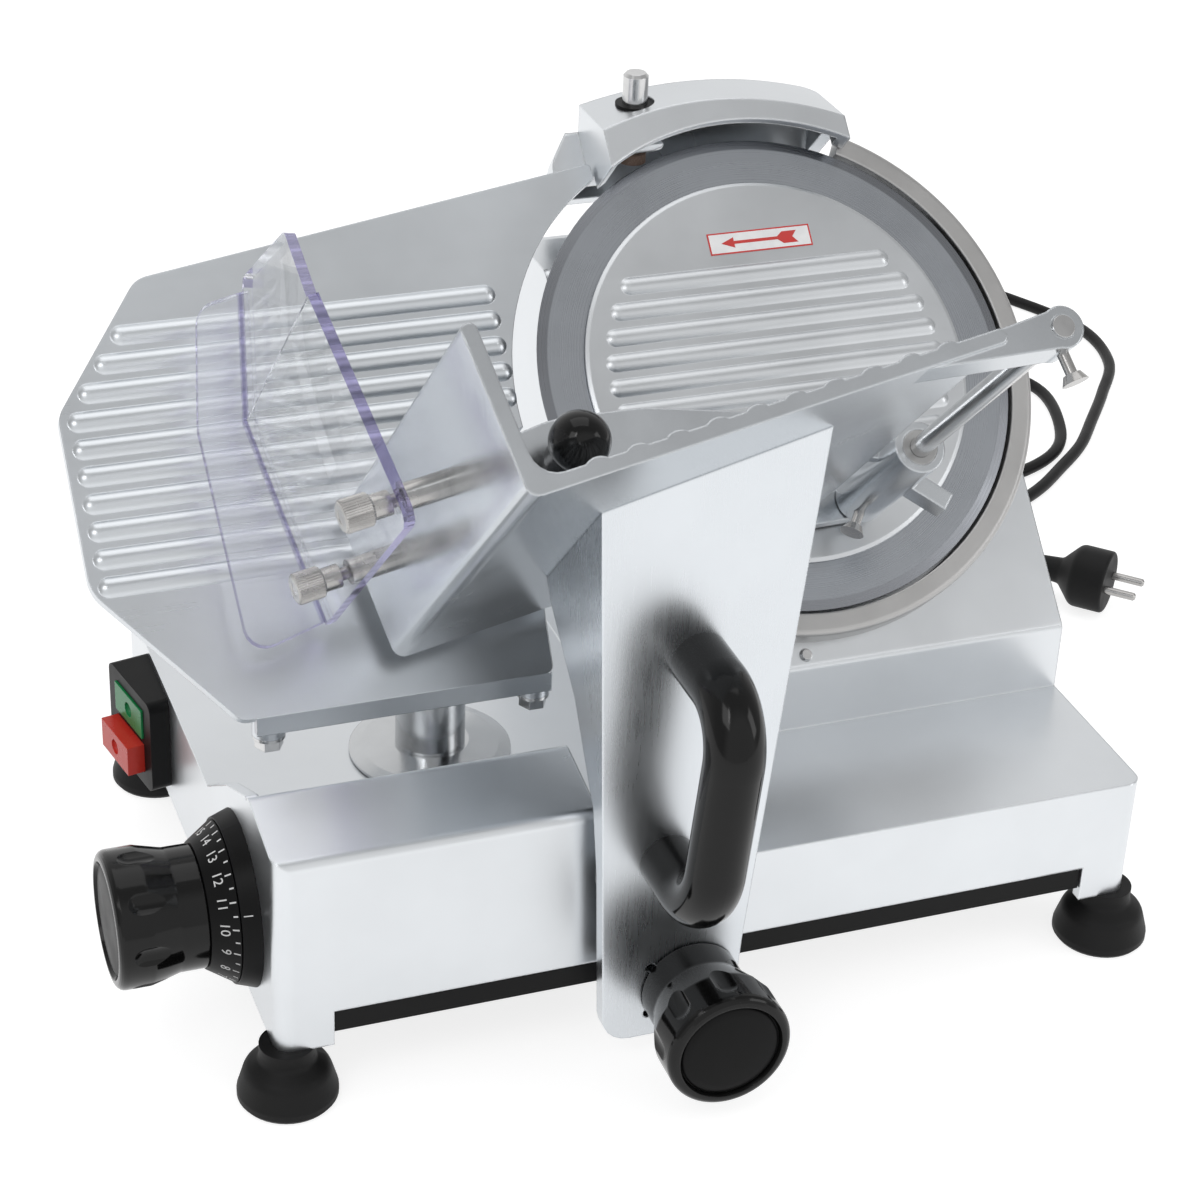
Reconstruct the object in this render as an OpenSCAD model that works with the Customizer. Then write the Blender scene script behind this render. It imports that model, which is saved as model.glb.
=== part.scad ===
// Deli meat slicer with a slanted blade, a hand-moved tray and a thickness dial.
// Millimetres, Z up, standing on its feet at z = 0. X is the way the tray slides, Y points to the back.

/* [Blade] */
// Blade diameter
blade_d = 250; // [240:1:252]
// Blade thickness
blade_t = 4; // [3:0.5:5]
// Height of the blade centre above the table
blade_h = 245; // [243:1:250]
// Lean of the blade from lying flat, in degrees
tilt = 45; // [44:0.5:46]
// Diameter of the fixed cover in front of the blade
cover_d = 202; // [180:1:210]
// Thickness of the cover without its ridges
cover_t = 2; // [1.5:0.5:2.5]
// Gap between blade and cover
cover_gap = 0.5; // [0.4:0.1:1]
// Space between the ridges of the cover
cover_pitch = 13; // [11:0.5:15]

/* [Base] */
// Blade axis to the left face
base_left = 311; // [305:1:320]
// Blade axis to the right face
base_right = 125; // [123:1:128]
// Blade axis to the front face
base_front = 190; // [188:1:191]
// Blade axis to the rear face
base_rear = 118; // [116:1:130]
// Height of the base top above the table
slab_top = 95; // [94:1:97]
// Wall thickness of the casting
wall = 6; // [5:0.5:6.5]
// Corner radius seen from above
corner_r = 8; // [5:1:14]
// Length of the raised beam at the front left
beam_len = 151; // [145:1:156]
// Height of the beam's front edge above the base top
beam_edge = 38; // [34:1:42]
// Height of the beam's crest above the base top
beam_crest = 47; // [44:1:50]
// Gap between the guard ring and the step below it
step_gap = 7.6; // [6:0.1:9]
// Depth of the housing face behind the blade plane
face_n = 12.5; // [12:0.5:14]
// Height of the housing above the blade centre, along the face
housing_v = 70; // [66:1:74]
// Left side of the housing from the blade axis
housing_left = 105; // [100:1:108]

/* [Feet] */
// Height of a rubber foot
foot_h = 30; // [28:1:31]
// Diameter of a foot on the table
foot_d = 47; // [44:1:50]
// Diameter of a foot at its neck
foot_neck_d = 26; // [20:1:30]
// Foot centre in from a side face
foot_side = 7; // [6:0.5:9]
// Foot centre in from the front face
foot_front = 8.5; // [8:0.5:10]
// Foot centre in from the rear face
foot_rear = 26; // [24:1:30]

/* [Slice thickness] */
// Distance of the gauge plate behind the blade plane, as shown
gauge_n = 10; // [9:0.5:11]
// Thickness of the gauge plate
gauge_t = 6; // [5:0.5:6.5]
// Space between the ridges of the gauge plate
gauge_pitch = 13.5; // [12:0.5:13.5]
// Travel of the gauge plate for a full turn range of the dial
gauge_travel = 18; // [16:1:19]
// Turn range of the dial in degrees
dial_turn = 300; // [280:5:320]
// Diameter of the gauge column
column_d = 34; // [30:1:38]
// Diameter of the dust dish round the column
dish_d = 79; // [74:1:84]
// Diameter of the dial's bezel
bezel_d = 84; // [78:1:86]
// Diameter of the dial grip at its end
dial_d = 65; // [60:1:68]
// Length of the dial grip
dial_grip_len = 42; // [36:1:46]
// Finger flutes round the dial grip
dial_flutes = 8; // [6:1:10]

/* [Tray] */
// Length of the tray plate from its wall to its free end
tray_len = 222; // [216:1:224]
// Depth of the tray, along the blade axis
tray_depth = 250; // [240:1:252]
// Thickness of the tray plate and wall
tray_t = 7; // [6:0.5:7]
// Height of the tray wall
tray_wall_h = 75; // [70:1:78]
// Tilt of the tray seen along the blade axis
tray_roll = 10.3; // [10:0.1:10.6]
// Space between the flutes of the tray
flute_pitch = 18; // [16:0.5:20]
// Travel of the tray
carriage_travel = 190; // [160:5:190]
// Diameter of the handle tube
handle_d = 27; // [24:1:28]
// Stand-off of the handle axis from the arm
handle_reach = 48; // [46:1:52]
// Diameter of the lock knob
knob_d = 60; // [54:1:62]
// Finger flutes round the lock knob
knob_flutes = 8; // [7:1:10]

/* [Pusher] */
// Diameter of the pusher rod
rod_d = 10; // [8:0.5:12]
// Outer diameter of the pusher sleeve
sleeve_d = 25; // [23:1:26]
// Length of the pusher sleeve
sleeve_len = 80; // [76:1:84]
// Thickness of the pusher plate
pusher_t = 6; // [5:0.5:7]
// Diameter of the ball grip
ball_d = 29; // [26:1:32]

/* [Clear guard] */
// Thickness of the clear sheet
sheet_t = 5; // [4:0.5:5]
// Distance of the sheet from the tray wall
post_len = 21; // [19:1:23]
// Inward bend of the upper flap in degrees
flap_bend = 19; // [16:1:22]

/* [Cord] */
// Cord diameter
cord_d = 8; // [7:0.5:8]
// Plug body diameter
plug_d = 38; // [34:1:38]

/* [Fits] */
// Radial clearance of a turning or sliding fit
fit = 0.05; // [0.03:0.01:0.08]
// Air between pieces that pass each other
air = 0.4; // [0.35:0.05:0.5]

/* [Hidden] */
$fn = 64;

blade_r = blade_d / 2;
ring_in = blade_r + 1.5;
ring_out = ring_in + 11.5;
ring_front = 1;
face_wall = face_n + wall;
step_y = -97;
front_low = 49;
corner = 27;
pan_z = 36;
pan_t = 3;

// Position of a point given along the blade axis and up the blade face
function bf_y(n, v) = -n * sin(tilt) + v * cos(tilt);
function bf_z(n, v) = blade_h + n * cos(tilt) + v * sin(tilt);
// Distance up the face at which the plane n reaches height z
function v_at(n, z) = (z - blade_h - n * cos(tilt)) / sin(tilt);
step_z = bf_z(-face_n, -ring_out) - step_gap;

// Blade hub and drive, along the blade axis
hub_r = 28;
bearing_out = 21;
bearing_in = 10;
belt_n = -44;
belt_w = 8;
belt_t = 5;
pulley_r = 46;
motor_pulley_r = 14;
motor_x = 10;
motor_v = -76;
motor_r = 40;
motor_len = 86;
motor_n = -60;
bracket_n = -76;
bracket_t = 8;

// Gauge and dial
gauge_rest = gauge_travel * 0.7;
dial_y = -128;
dial_z = 75;
dial_shaft_r = 7;
pinion_r = gauge_travel / (dial_turn * PI / 180);
pinion_teeth = 8;
tooth = pinion_r * 2 * PI / pinion_teeth;
rack_x = -299;
rack_w = 10;
rack_end = 15.5;
column_x = -200;
column_y = -62;
gauge_low = -133;
gauge_back = gauge_n + gauge_t;
lip_h = 10;
lip_t = 5;
bezel_t = 9;
dial_cone = 12;
slide_w = 44;
slide_len = 46;
slide_z0 = 53;
slide_z1 = slab_top - wall - 2;
gauge_rod_r = 7;
gauge_rod_z = 68;
rod_bracket_y = [-124, -14];
rod_bracket_t = 12;
rod_end = 3;

// Tray and arm
tray_x = -225;
tray_v = -118.5;
tray_back = 5;
tray_front = tray_back + tray_depth;
rod_u = tray_len + 27;
rod_w = -1;
rod_r = rod_d / 2;
lug_r = rod_r + 4.5;
lugs = [[tray_back, 8], [tray_front - 20, 18]];
screw_n = tray_front - 11;
arm_y = -208;
arm_t = 8;
knob_x = -118;
knob_z = 40;
knob_len = 52;
stud_r = 5;
guide_y = -165;
guide_z = 66;
guide_r = 7;
guide_end = 3;
block_x0 = -166;
block_x1 = -106;
neck_x0 = -146;
neck_x1 = -114;

// Pusher and guard
plate_n = 67;
flute_h = 1.2;
flute_r = 8;
post_r = 6;
guard_stud_r = 3;
posts = [[168, 36], [58, 36]];
nut_collar = 9;
nut_head = 16;
nut_r = 9;
sheet_u = -post_len - sheet_t;
crease_w = 130;

// Placing of the whole on its bottom centre
left_end = -base_left - bezel_t - dial_cone - dial_grip_len;
front_end = arm_y - handle_reach - handle_d / 2;
shift = [-(left_end + ring_out) / 2, -(front_end + base_rear) / 2, 0];

// Frames: the blade frame has x, v up the face and n along the blade axis; the tray frame has u, w and n
module place() translate(shift) children();
module blade_frame() translate([0, 0, blade_h]) rotate([tilt, 0, 0]) children();
module tray_frame() blade_frame() translate([tray_x, tray_v, 0]) rotate([0, 0, tray_roll]) children();
module dial_frame() translate([-base_left, dial_y, dial_z]) rotate([0, -90, 0]) children();

// Extrusion along X of an outline drawn in y and z
module side(x0, x1) translate([x0, 0, 0]) rotate([90, 0, 90]) linear_extrude(x1 - x0) children();
// Extrusion along Y of an outline drawn in x and z
module front(y0, y1) translate([0, y1, 0]) rotate([90, 0, 0]) linear_extrude(y1 - y0) children();
// Box between two corners
module span(a, b) translate(a) cube(b - a);
// Cylinder along X, Y or Z from a point
module rod_x(p, r, h) translate(p) rotate([0, 90, 0]) cylinder(r = r, h = h);
module rod_y(p, r, h) translate(p) rotate([-90, 0, 0]) cylinder(r = r, h = h);
module tube(r, bore, h) {
    difference() {
        cylinder(r = r, h = h);
        translate([0, 0, -1]) cylinder(r = bore, h = h + 2);
    }
}

// Outline with every corner rounded: points and a radius for each
function unit(a) = a / norm(a);
function corner_arc(a, b, c, r) =
    let (p = unit(a - b), q = unit(c - b), half = acos(max(-1, min(1, p * q))) / 2)
    r <= 0 ? [b] :
    let (m = b + unit(p + q) * r / sin(half), s = b + p * r / tan(half), e = b + q * r / tan(half))
    let (a0 = atan2(s[1] - m[1], s[0] - m[0]), turn = atan2(e[1] - m[1], e[0] - m[0]) - a0)
    let (sweep = turn > 180 ? turn - 360 : turn < -180 ? turn + 360 : turn)
    [for (i = [0 : 5]) m + r * [cos(a0 + sweep * i / 5), sin(a0 + sweep * i / 5)]];
function rounded(p, r) =
    let (k = len(p))
    [for (i = [0 : k - 1]) each corner_arc(p[(i + k - 1) % k], p[i], p[(i + 1) % k], r[i])];

module rounded_box(a, b, r) {
    span([a[0] + r, a[1], a[2]], [b[0] - r, b[1], b[2]]);
    span([a[0], a[1] + r, a[2]], [b[0], b[1] - r, b[2]]);
    for (x = [a[0] + r, b[0] - r], y = [a[1] + r, b[1] - r])
        translate([x, y, a[2]]) cylinder(r = r, h = b[2] - a[2]);
}

// Base: the beam's crest and back, and the rear end of the gusset beside it
crest_y = -144;
beam_back = -118;
gusset_back = -63;
beam_outline = rounded([[-base_front, slab_top - 20], [-base_front, slab_top + beam_edge],
    [crest_y, slab_top + beam_crest], [beam_back, slab_top], [beam_back, slab_top - 20]], [0, 5, 5, 0, 0]);
beam_hollow = [[-base_front + wall, slab_top - 30], [-base_front + wall, slab_top + beam_edge - wall],
    [crest_y - 2, slab_top + beam_crest - wall - 1], [beam_back - wall, slab_top - wall],
    [beam_back - wall, slab_top - 30]];
gusset_outline = [[beam_back, slab_top - 10], [crest_y - 2, slab_top + beam_crest - 5],
    [crest_y + 4, slab_top + beam_crest - 3], [(beam_back + gusset_back) / 2 - 12, slab_top + 26],
    [gusset_back, slab_top], [gusset_back, slab_top - 10]];
top_y = bf_y(-face_n, housing_v);
top_z = bf_z(-face_n, housing_v);
housing_outline = rounded([[step_y, slab_top - 20], [step_y, step_z],
    [bf_y(-face_n, v_at(-face_n, step_z)), step_z], [top_y, top_z], [base_rear - 6, top_z],
    [base_rear, slab_top - 20]], [0, 2, 0, 8, 16, 0]);
in_top = housing_v - wall;
housing_hollow = [[step_y + wall, slab_top - 30], [step_y + wall, step_z - wall],
    [bf_y(-face_wall, v_at(-face_wall, step_z - wall)), step_z - wall],
    [bf_y(-face_wall, in_top), bf_z(-face_wall, in_top)],
    [base_rear - 2 * wall - 4, bf_z(-face_wall, in_top)], [base_rear - wall - 3, slab_top - 30]];

// Feet with their pads, and the bosses that hold the bottom pan
pad_half = 13.5;
feet_at = [for (x = [-base_left + foot_side, base_right - foot_side],
    y = [-base_front + foot_front, base_rear - foot_rear]) [x, y]];
foot_screw_r = 3;
bosses_at = [[-262, 88], [-262, -20], [62, base_rear - wall - 10], [95, -120]];
boss_r = 7;
pan_screw_r = 2.5;
pan_screw_len = 14;

module base_hollow() {
    span([-base_left + wall, -base_front + wall, 0], [base_right - wall, base_rear - wall, slab_top - wall]);
    side(-base_left + wall, -base_left + beam_len - wall) polygon(beam_hollow);
    side(-housing_left + wall, base_right - wall) polygon(housing_hollow);
}

module base_casting() {
    color("gainsboro") difference() {
        union() {
            difference() {
                intersection() {
                    union() {
                        span([-base_left, -base_front, foot_h], [base_right, base_rear, slab_top]);
                        side(-base_left, -base_left + beam_len) polygon(beam_outline);
                        side(-base_left, -base_left + wall) polygon(gusset_outline);
                        side(-housing_left, base_right) polygon(housing_outline);
                        neck();
                    }
                    plan();
                }
                base_hollow();
            }
            intersection() {
                for (f = feet_at)
                    span([f[0] - pad_half, f[1] - pad_half, foot_h],
                        [f[0] + pad_half, f[1] + pad_half, slab_top - wall]);
                plan();
            }
            for (b = bosses_at) translate([b[0], b[1], pan_z + pan_t])
                cylinder(r = boss_r, h = slab_top - wall - pan_z - pan_t);
            for (y = rod_bracket_y)
                span([column_x - 16, y, gauge_rod_z - 14],
                    [column_x + 16, y + rod_bracket_t, slab_top - wall + 1]);
        }
        span([-base_left + corner, -base_front - 1, 0],
            [base_right - corner, -base_front + wall + 1, front_low]);
        for (f = feet_at) translate([f[0], f[1], 0]) cylinder(r = foot_screw_r, h = foot_h + 22);
        for (b = bosses_at) translate([b[0], b[1], 0])
            cylinder(r = pan_screw_r, h = pan_z + pan_t + pan_screw_len + 4);
        guide_bar();
        rod_x([-base_left - 1, dial_y, dial_z], dial_shaft_r + fit, wall + 2);
        gauge_bar();
        rounded_box([column_x - 9, column_y - 9 - gauge_rest - 1, slab_top - wall - 1],
            [column_x + 9, column_y + 9 + gauge_travel - gauge_rest + 1, slab_top + 1], 8.9);
        blade_frame() translate([0, 0, -face_wall - 1]) cylinder(r = hub_r + 1.5, h = wall + 2);
        rod_y([gland_at[0], base_rear - wall - 1, gland_at[1]], gland_r, wall + 2);
        switch_throat(-base_left - 1, -base_left + wall + 1, 0);
        ring_screw_places() translate([0, 0, -face_wall - 1]) cylinder(r = ring_screw_r, h = wall + 2);
        blade_frame() translate([face_screw[0], face_screw[1], -face_n - 5]) cylinder(r = ring_screw_r, h = 6);
    }
}

// Outline of the base seen from above
module plan() rounded_box([-base_left, -base_front, 0], [base_right, base_rear, 400], corner_r);

// Neck that carries the sharpener above the housing
module neck() {
    blade_frame() translate([0, 0, -face_n - sharp_depth]) linear_extrude(sharp_depth)
        polygon([[neck_left, housing_v - 14], [neck_right, housing_v - 14], [neck_right, neck_v - 12],
            [neck_right - 14, neck_v], [neck_left + 12, neck_v], [neck_left, neck_v - 12]]);
}

module bottom_pan() {
    color("#222222") difference() {
        union() {
            span([-base_left + wall, -base_front + corner + air, pan_z],
                [base_right - wall, base_rear - foot_rear - pad_half - air, pan_z + pan_t]);
            span([-base_left + corner + air, -base_front + 2, pan_z],
                [base_right - corner - air, base_rear - wall, pan_z + pan_t]);
            span([-base_left + corner + air, -base_front + 2, pan_z],
                [base_right - corner - air, -base_front + 2 + pan_t, front_low]);
        }
        span([neck_x0 - 4, guide_y - 15, 0], [neck_x1 + carriage_travel + 4, guide_y + 15, 60]);
        for (b = bosses_at) translate([b[0], b[1], 0]) cylinder(r = pan_screw_r + fit, h = 60);
        for (i = [0 : 5]) span([-90 + i * 14, 20, 0], [-84 + i * 14, 80, 60]);
    }
}

module pan_screws() {
    color("silver") for (b = bosses_at) translate([b[0], b[1], pan_z]) {
        translate([0, 0, -2.8]) cylinder(r = 4.5, h = 2.8);
        cylinder(r = pan_screw_r, h = pan_t + pan_screw_len);
    }
}

module feet() {
    color("#1c1c1c") for (f = feet_at) translate([f[0], f[1], 0]) difference() {
        rotate_extrude() polygon(rounded([[0, 0], [foot_d / 2 - 1.5, 0], [foot_d / 2, 2], [foot_d / 2, 5],
            [foot_neck_d / 2 + 7, foot_h - 13], [foot_neck_d / 2, foot_h - 8], [foot_neck_d / 2, foot_h],
            [0, foot_h]], [0, 0, 0, 3, 8, 3, 0, 0]));
        translate([0, 0, -1]) cylinder(r = foot_screw_r, h = foot_h + 2);
        translate([0, 0, -1]) cylinder(r = 6, h = 11);
    }
}

module foot_screws() {
    color("silver") for (f = feet_at) translate([f[0], f[1], 0]) {
        translate([0, 0, 6.5]) cylinder(r = 5, h = 3.5);
        translate([0, 0, 10]) cylinder(r = foot_screw_r, h = foot_h + 8);
    }
}

// Switch on the left face, a wedge whose front looks forward and out
switch_y0 = 20;
switch_len = 52;
switch_z0 = 39;
switch_z1 = 91;
switch_out = 10.5;
switch_turn = 11;
throat_in = 10;
button_side = 9;
button_in = 12;
press = 3;
module switch_frame() translate([-base_left, switch_y0, 0]) rotate([0, 0, switch_turn]) children();
// Throat of the box through the wall of the base
module switch_throat(x0, x1, gap) {
    span([x0, switch_y0 + throat_in + gap, switch_z0 + throat_in + gap],
        [x1, switch_y0 + switch_len - throat_in - gap, switch_z1 - throat_in - gap]);
}
module switch_box() {
    color("#202020") difference() {
        union() {
            intersection() {
                switch_frame() translate([switch_len, 0, 0]) rotate([0, -90, 0])
                    rounded_box([switch_z0, 0, 0], [switch_z1, switch_len, switch_len + switch_out], 5);
                span([-base_left - switch_len, 0, 0], [-base_left, switch_y0 + 2 * switch_len, 2 * switch_z1]);
            }
            switch_throat(-base_left, -base_left + wall + 6, 0.5);
        }
        button_pocket(switch_z0 + 8, switch_z0 + 25);
        button_pocket(switch_z0 + 28, switch_z1 - 7);
    }
}
module button_pocket(z0, z1) {
    switch_frame() span([-switch_out - 1, button_side, z0],
        [-switch_out + button_in, switch_len - button_side, z1]);
}
module button_shape(z0, z1, proud) {
    switch_frame() difference() {
        span([-switch_out - proud, button_side + air, z0 + air],
            [-switch_out + button_in - press - air, switch_len - button_side - air, z1 - air]);
        translate([-switch_out - proud, switch_len / 2, (z0 + z1) / 2]) sphere(r = 4);
    }
}
module start_button() {
    color("limegreen") button_shape(switch_z0 + 28, switch_z1 - 7, 1);
}
module stop_button() {
    color("red") button_shape(switch_z0 + 8, switch_z0 + 25, 9);
}

// Motor and drive
module motor() {
    color("dimgray") blade_frame() translate([motor_x, motor_v, 0]) {
        difference() {
            translate([0, 0, motor_n - motor_len]) cylinder(r = motor_r, h = motor_len);
            for (a = [0 : 20 : 340]) rotate([0, 0, a]) translate([motor_r + 1.5, 0, motor_n - motor_len + 14])
                cylinder(r = 3.5, h = motor_len - 28);
            translate([0, 0, motor_n - 30]) cylinder(r = 6 + fit, h = 31);
        }
    }
}
module motor_mount() {
    color("gray") blade_frame() difference() {
        translate([-housing_left + wall, motor_v - 30, motor_n])
            cube([housing_left + base_right - 2 * wall, 60, 5]);
        translate([motor_x, motor_v, motor_n - 1]) cylinder(r = 18, h = 7);
    }
}
module motor_pulley() {
    color("silver") blade_frame() translate([motor_x, motor_v, 0]) {
        translate([0, 0, motor_n - 29]) cylinder(r = 6, h = -motor_n + 29 + belt_n - belt_w / 2 - 2);
        pulley(motor_pulley_r);
    }
}
module pulley(r) {
    translate([0, 0, belt_n - belt_w / 2 - 2]) difference() {
        cylinder(r = r + 4, h = belt_w + 4);
        translate([0, 0, 2 - air]) tube(r + 10, r - air, belt_w + 2 * air);
    }
}
module drive_belt() {
    color("#151515") blade_frame() translate([0, 0, belt_n - belt_w / 2]) linear_extrude(belt_w) difference() {
        belt_loop(belt_t);
        belt_loop(0);
    }
}
module belt_loop(extra) {
    hull() {
        circle(r = pulley_r + extra, $fn = 48);
        translate([motor_x, motor_v]) circle(r = motor_pulley_r + extra, $fn = 32);
    }
}
module axle_bracket() {
    color("gray") blade_frame() difference() {
        translate([-housing_left + wall, -24, bracket_n - bracket_t])
            cube([housing_left + base_right - 2 * wall, 48, bracket_t]);
        translate([0, 0, bracket_n - bracket_t - 1]) cylinder(r = bearing_in, h = bracket_t + 2);
    }
}
module blade_axle() {
    color("silver") blade_frame() {
        translate([0, 0, bracket_n - bracket_t - 14])
            cylinder(r = bearing_in, h = -bracket_n + bracket_t + 14 - 6);
        translate([0, 0, -6]) cylinder(r = 6, h = 6 + cover_gap);
    }
}
module axle_nut() {
    color("silver") blade_frame() translate([0, 0, bracket_n - bracket_t - 10]) difference() {
        cylinder(r = 17, h = 10, $fn = 6);
        translate([0, 0, -1]) cylinder(r = bearing_in, h = 12);
    }
}
module blade_hub() {
    color("silver") blade_frame() difference() {
        union() {
            translate([0, 0, -face_n + 2]) cylinder(r = 42, h = face_n - 2 - blade_t);
            translate([0, 0, belt_n - belt_w / 2 - 2])
                cylinder(r = hub_r, h = -belt_n + belt_w / 2 + 2 - blade_t);
            pulley(pulley_r);
        }
        translate([0, 0, belt_n - 20]) cylinder(r = bearing_out, h = -belt_n + 20 - blade_t - 4);
        translate([0, 0, -blade_t - 5]) cylinder(r = bearing_in + 2, h = 10);
        for (a = [0 : 60 : 300]) rotate([0, 0, a]) translate([35, 0, -face_n]) cylinder(r = 2.5, h = face_n);
    }
}
module hub_bearings() {
    color("silver") blade_frame() for (n = [belt_n - belt_w / 2 - 2, -blade_t - 4 - 14])
        translate([0, 0, n]) tube(bearing_out, bearing_in + fit, 14);
}
module blade() {
    color("lightsteelblue") blade_frame() difference() {
        rotate_extrude() polygon([[12.5, -blade_t], [blade_r - 10, -blade_t], [blade_r, -1.2], [blade_r, -0.8],
            [blade_r - 5, 0], [12.5, 0]]);
        for (a = [0 : 60 : 300]) rotate([0, 0, a]) translate([35, 0, -blade_t]) {
            translate([0, 0, -1]) cylinder(r = 2.5, h = blade_t + 2);
            translate([0, 0, blade_t - 2.2]) cylinder(r1 = 2.5, r2 = 5, h = 2.5);
        }
    }
}
module blade_screws() {
    color("silver") blade_frame() for (a = [0 : 60 : 300]) rotate([0, 0, a]) translate([35, 0, 0]) {
        translate([0, 0, -face_n + 3]) cylinder(r = 2.5, h = face_n - 3 - 2.2);
        translate([0, 0, -2.2]) cylinder(r1 = 2.5, r2 = 4.5, h = 2);
    }
}
// Broad half-round ridge along X with round ends, proud of a face at height 0
ridge_r = 7;
ridge_sunk = 1;
module ridge(x0, x1, proud) {
    intersection() {
        translate([0, 0, proud - ridge_r]) {
            translate([x0, 0, 0]) rotate([0, 90, 0]) cylinder(r = ridge_r, h = x1 - x0, $fn = 24);
            for (x = [x0, x1]) translate([x, 0, 0]) sphere(r = ridge_r, $fn = 24);
        }
        span([x0 - 2 * ridge_r, -2 * ridge_r, -ridge_sunk], [x1 + 2 * ridge_r, 2 * ridge_r, 2 * ridge_r]);
    }
}
cover_proud = 1.8;
cover_rim = 15;
module blade_cover() {
    color("gainsboro") blade_frame() translate([0, 0, cover_gap]) {
        rotate_extrude() polygon([[0, 0], [cover_d / 2, 0], [cover_d / 2, cover_t - 0.8],
            [cover_d / 2 - 2, cover_t], [0, cover_t]]);
        for (i = [-4 : 4]) {
            half = sqrt(pow(cover_d / 2 - cover_rim, 2) - pow(i * cover_pitch, 2));
            translate([0, i * cover_pitch, cover_t]) ridge(-half, half, cover_proud);
        }
    }
}
// Guard ring behind the blade's edge, screwed on from inside the housing
ring_screw_at = [-38, -64, -88, -110];
ring_screw_r = 2;
ring_screw_in = 8;
face_screw_gap = 5.5;
face_screw = [-16, -ring_out - face_screw_gap];
module ring_screw_places() {
    blade_frame() for (a = ring_screw_at) rotate([0, 0, a]) translate([(ring_in + ring_out) / 2, 0, 0])
        children();
}
module guard_ring() {
    color("lightgray") difference() {
        blade_frame() rotate([0, 0, -115]) rotate_extrude(angle = 177) polygon(rounded([[ring_in, -face_n],
            [ring_out, -face_n], [ring_out, ring_front], [ring_in, ring_front]], [0, 0, 3, 1]));
        ring_screw_places() translate([0, 0, -face_n - 1]) cylinder(r = ring_screw_r, h = ring_screw_in + 1);
    }
}
module ring_screws() {
    color("silver") {
        ring_screw_places() translate([0, 0, -face_wall]) {
            translate([0, 0, -3]) cylinder(r = 4, h = 3);
            cylinder(r = ring_screw_r, h = wall + ring_screw_in);
        }
        blade_frame() translate([face_screw[0], face_screw[1], -face_n]) {
            translate([0, 0, -5]) cylinder(r = ring_screw_r, h = 5);
            cylinder(r1 = 3.5, r2 = 2.5, h = 2);
        }
    }
}

// Sharpener over the top of the blade
sharp_depth = 40;
sharp_front = 15;
sharp_wall = 5;
hood_left = -68;
hood_right = 63;
ear_left = -86;
// Corners of the ear, top of the lid, seat on the neck and back of the hood, all from the blade's radius
ear_v = blade_r + 5;
ear_top = [-58, blade_r + 47];
lid_z = blade_r - 14;
neck_v = blade_r - 7;
hood_rear = blade_r - 7;
lid_r = 235;
lid_x = -8;
lid_y0 = 20;
neck_left = -50;
neck_right = 60;
plunger_x = -44;
plunger_in = 16;
plunger_y = hood_rear - plunger_in;
plunger_r = 6.5;
plunger_up = 16;
stem_r = 5;
stem_out = 8;
stone_t = 5;
collar_r = 9;
collar_t = 3;
spring_len = 8;
shelf_t = 4;
shelf_w = 24;
bush_r = 10;
bush_flange = 1.5;
band_r = blade_r + 5;
// Plane that the ear keeps behind when the gauge plate is right back
ear_n = gauge_back + (gauge_travel - gauge_rest) * sin(tilt) + 1;
// Height of the crowned lid above the blade centre
function lid_at(x) = lid_z - lid_r + sqrt(lid_r * lid_r - pow(x - lid_x, 2));
seat_z = lid_at(plunger_x) - bush_flange;
collar_z = seat_z - sharp_wall - 4;
shelf_z = collar_z - spring_len;
// Hood over the blade and ear behind the gauge plate, under one crowned lid, drawn in by a wall
module sharpener_form(inset) {
    intersection() {
        blade_frame() translate([0, 0, -face_n - sharp_depth]) {
            span([hood_left + inset, blade_r - 40, 0],
                [hood_right - inset, 2 * blade_r, sharp_front + face_n + sharp_depth - inset]);
            linear_extrude(face_n + sharp_depth - ear_n - inset)
                polygon(rounded([[ear_left + inset, blade_r - 40], [ear_left + inset, ear_v],
                    ear_top + [inset, -inset], [0, ear_top[1] + 8], [0, blade_r - 40]], [0, 14, 20, 0, 0]));
        }
        rod_y([lid_x, lid_y0, blade_h + lid_z - lid_r], lid_r - inset, 2 * hood_rear);
        rounded_box([ear_left - 1, lid_y0, blade_h],
            [hood_right + 1, hood_rear - inset, blade_h + lid_z + 1], 9);
    }
}
module sharpener_body() {
    color("gainsboro") difference() {
        sharpener_form(0);
        blade_frame() {
            translate([0, 0, -100]) cylinder(r = band_r, h = 200);
            intersection() {
                translate([0, 0, -100]) cylinder(r = ring_out + 1, h = 100 + ring_front + 1);
                span([neck_right - 10, 0, -100], [ring_out, ring_out, 100]);
            }
            translate([-100, 0, -face_n - sharp_depth - 1]) cube([200, neck_v, sharp_depth + 1]);
        }
        difference() {
            sharpener_form(sharp_wall);
            span([plunger_x - shelf_w / 2, plunger_y - shelf_w / 2, blade_h + shelf_z - shelf_t],
                [plunger_x + shelf_w / 2, hood_rear, blade_h + shelf_z]);
        }
        translate([plunger_x, plunger_y, blade_h + shelf_z + 1]) cylinder(r = bush_r - 2, h = 50);
        translate([plunger_x, plunger_y, blade_h + seat_z]) cylinder(r = bush_r, h = 50);
        translate([plunger_x, plunger_y, blade_h + shelf_z - shelf_t - 1])
            cylinder(r = stem_r + fit, h = shelf_t + 2);
    }
}
module plunger_bush() {
    color("#202020") translate([plunger_x, plunger_y, blade_h]) difference() {
        union() {
            translate([0, 0, collar_z + collar_t]) cylinder(r = bush_r - 2, h = seat_z - collar_z - collar_t);
            translate([0, 0, seat_z]) cylinder(r = bush_r, h = bush_flange);
        }
        translate([0, 0, collar_z]) cylinder(r = plunger_r + fit, h = 50);
    }
}
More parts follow.
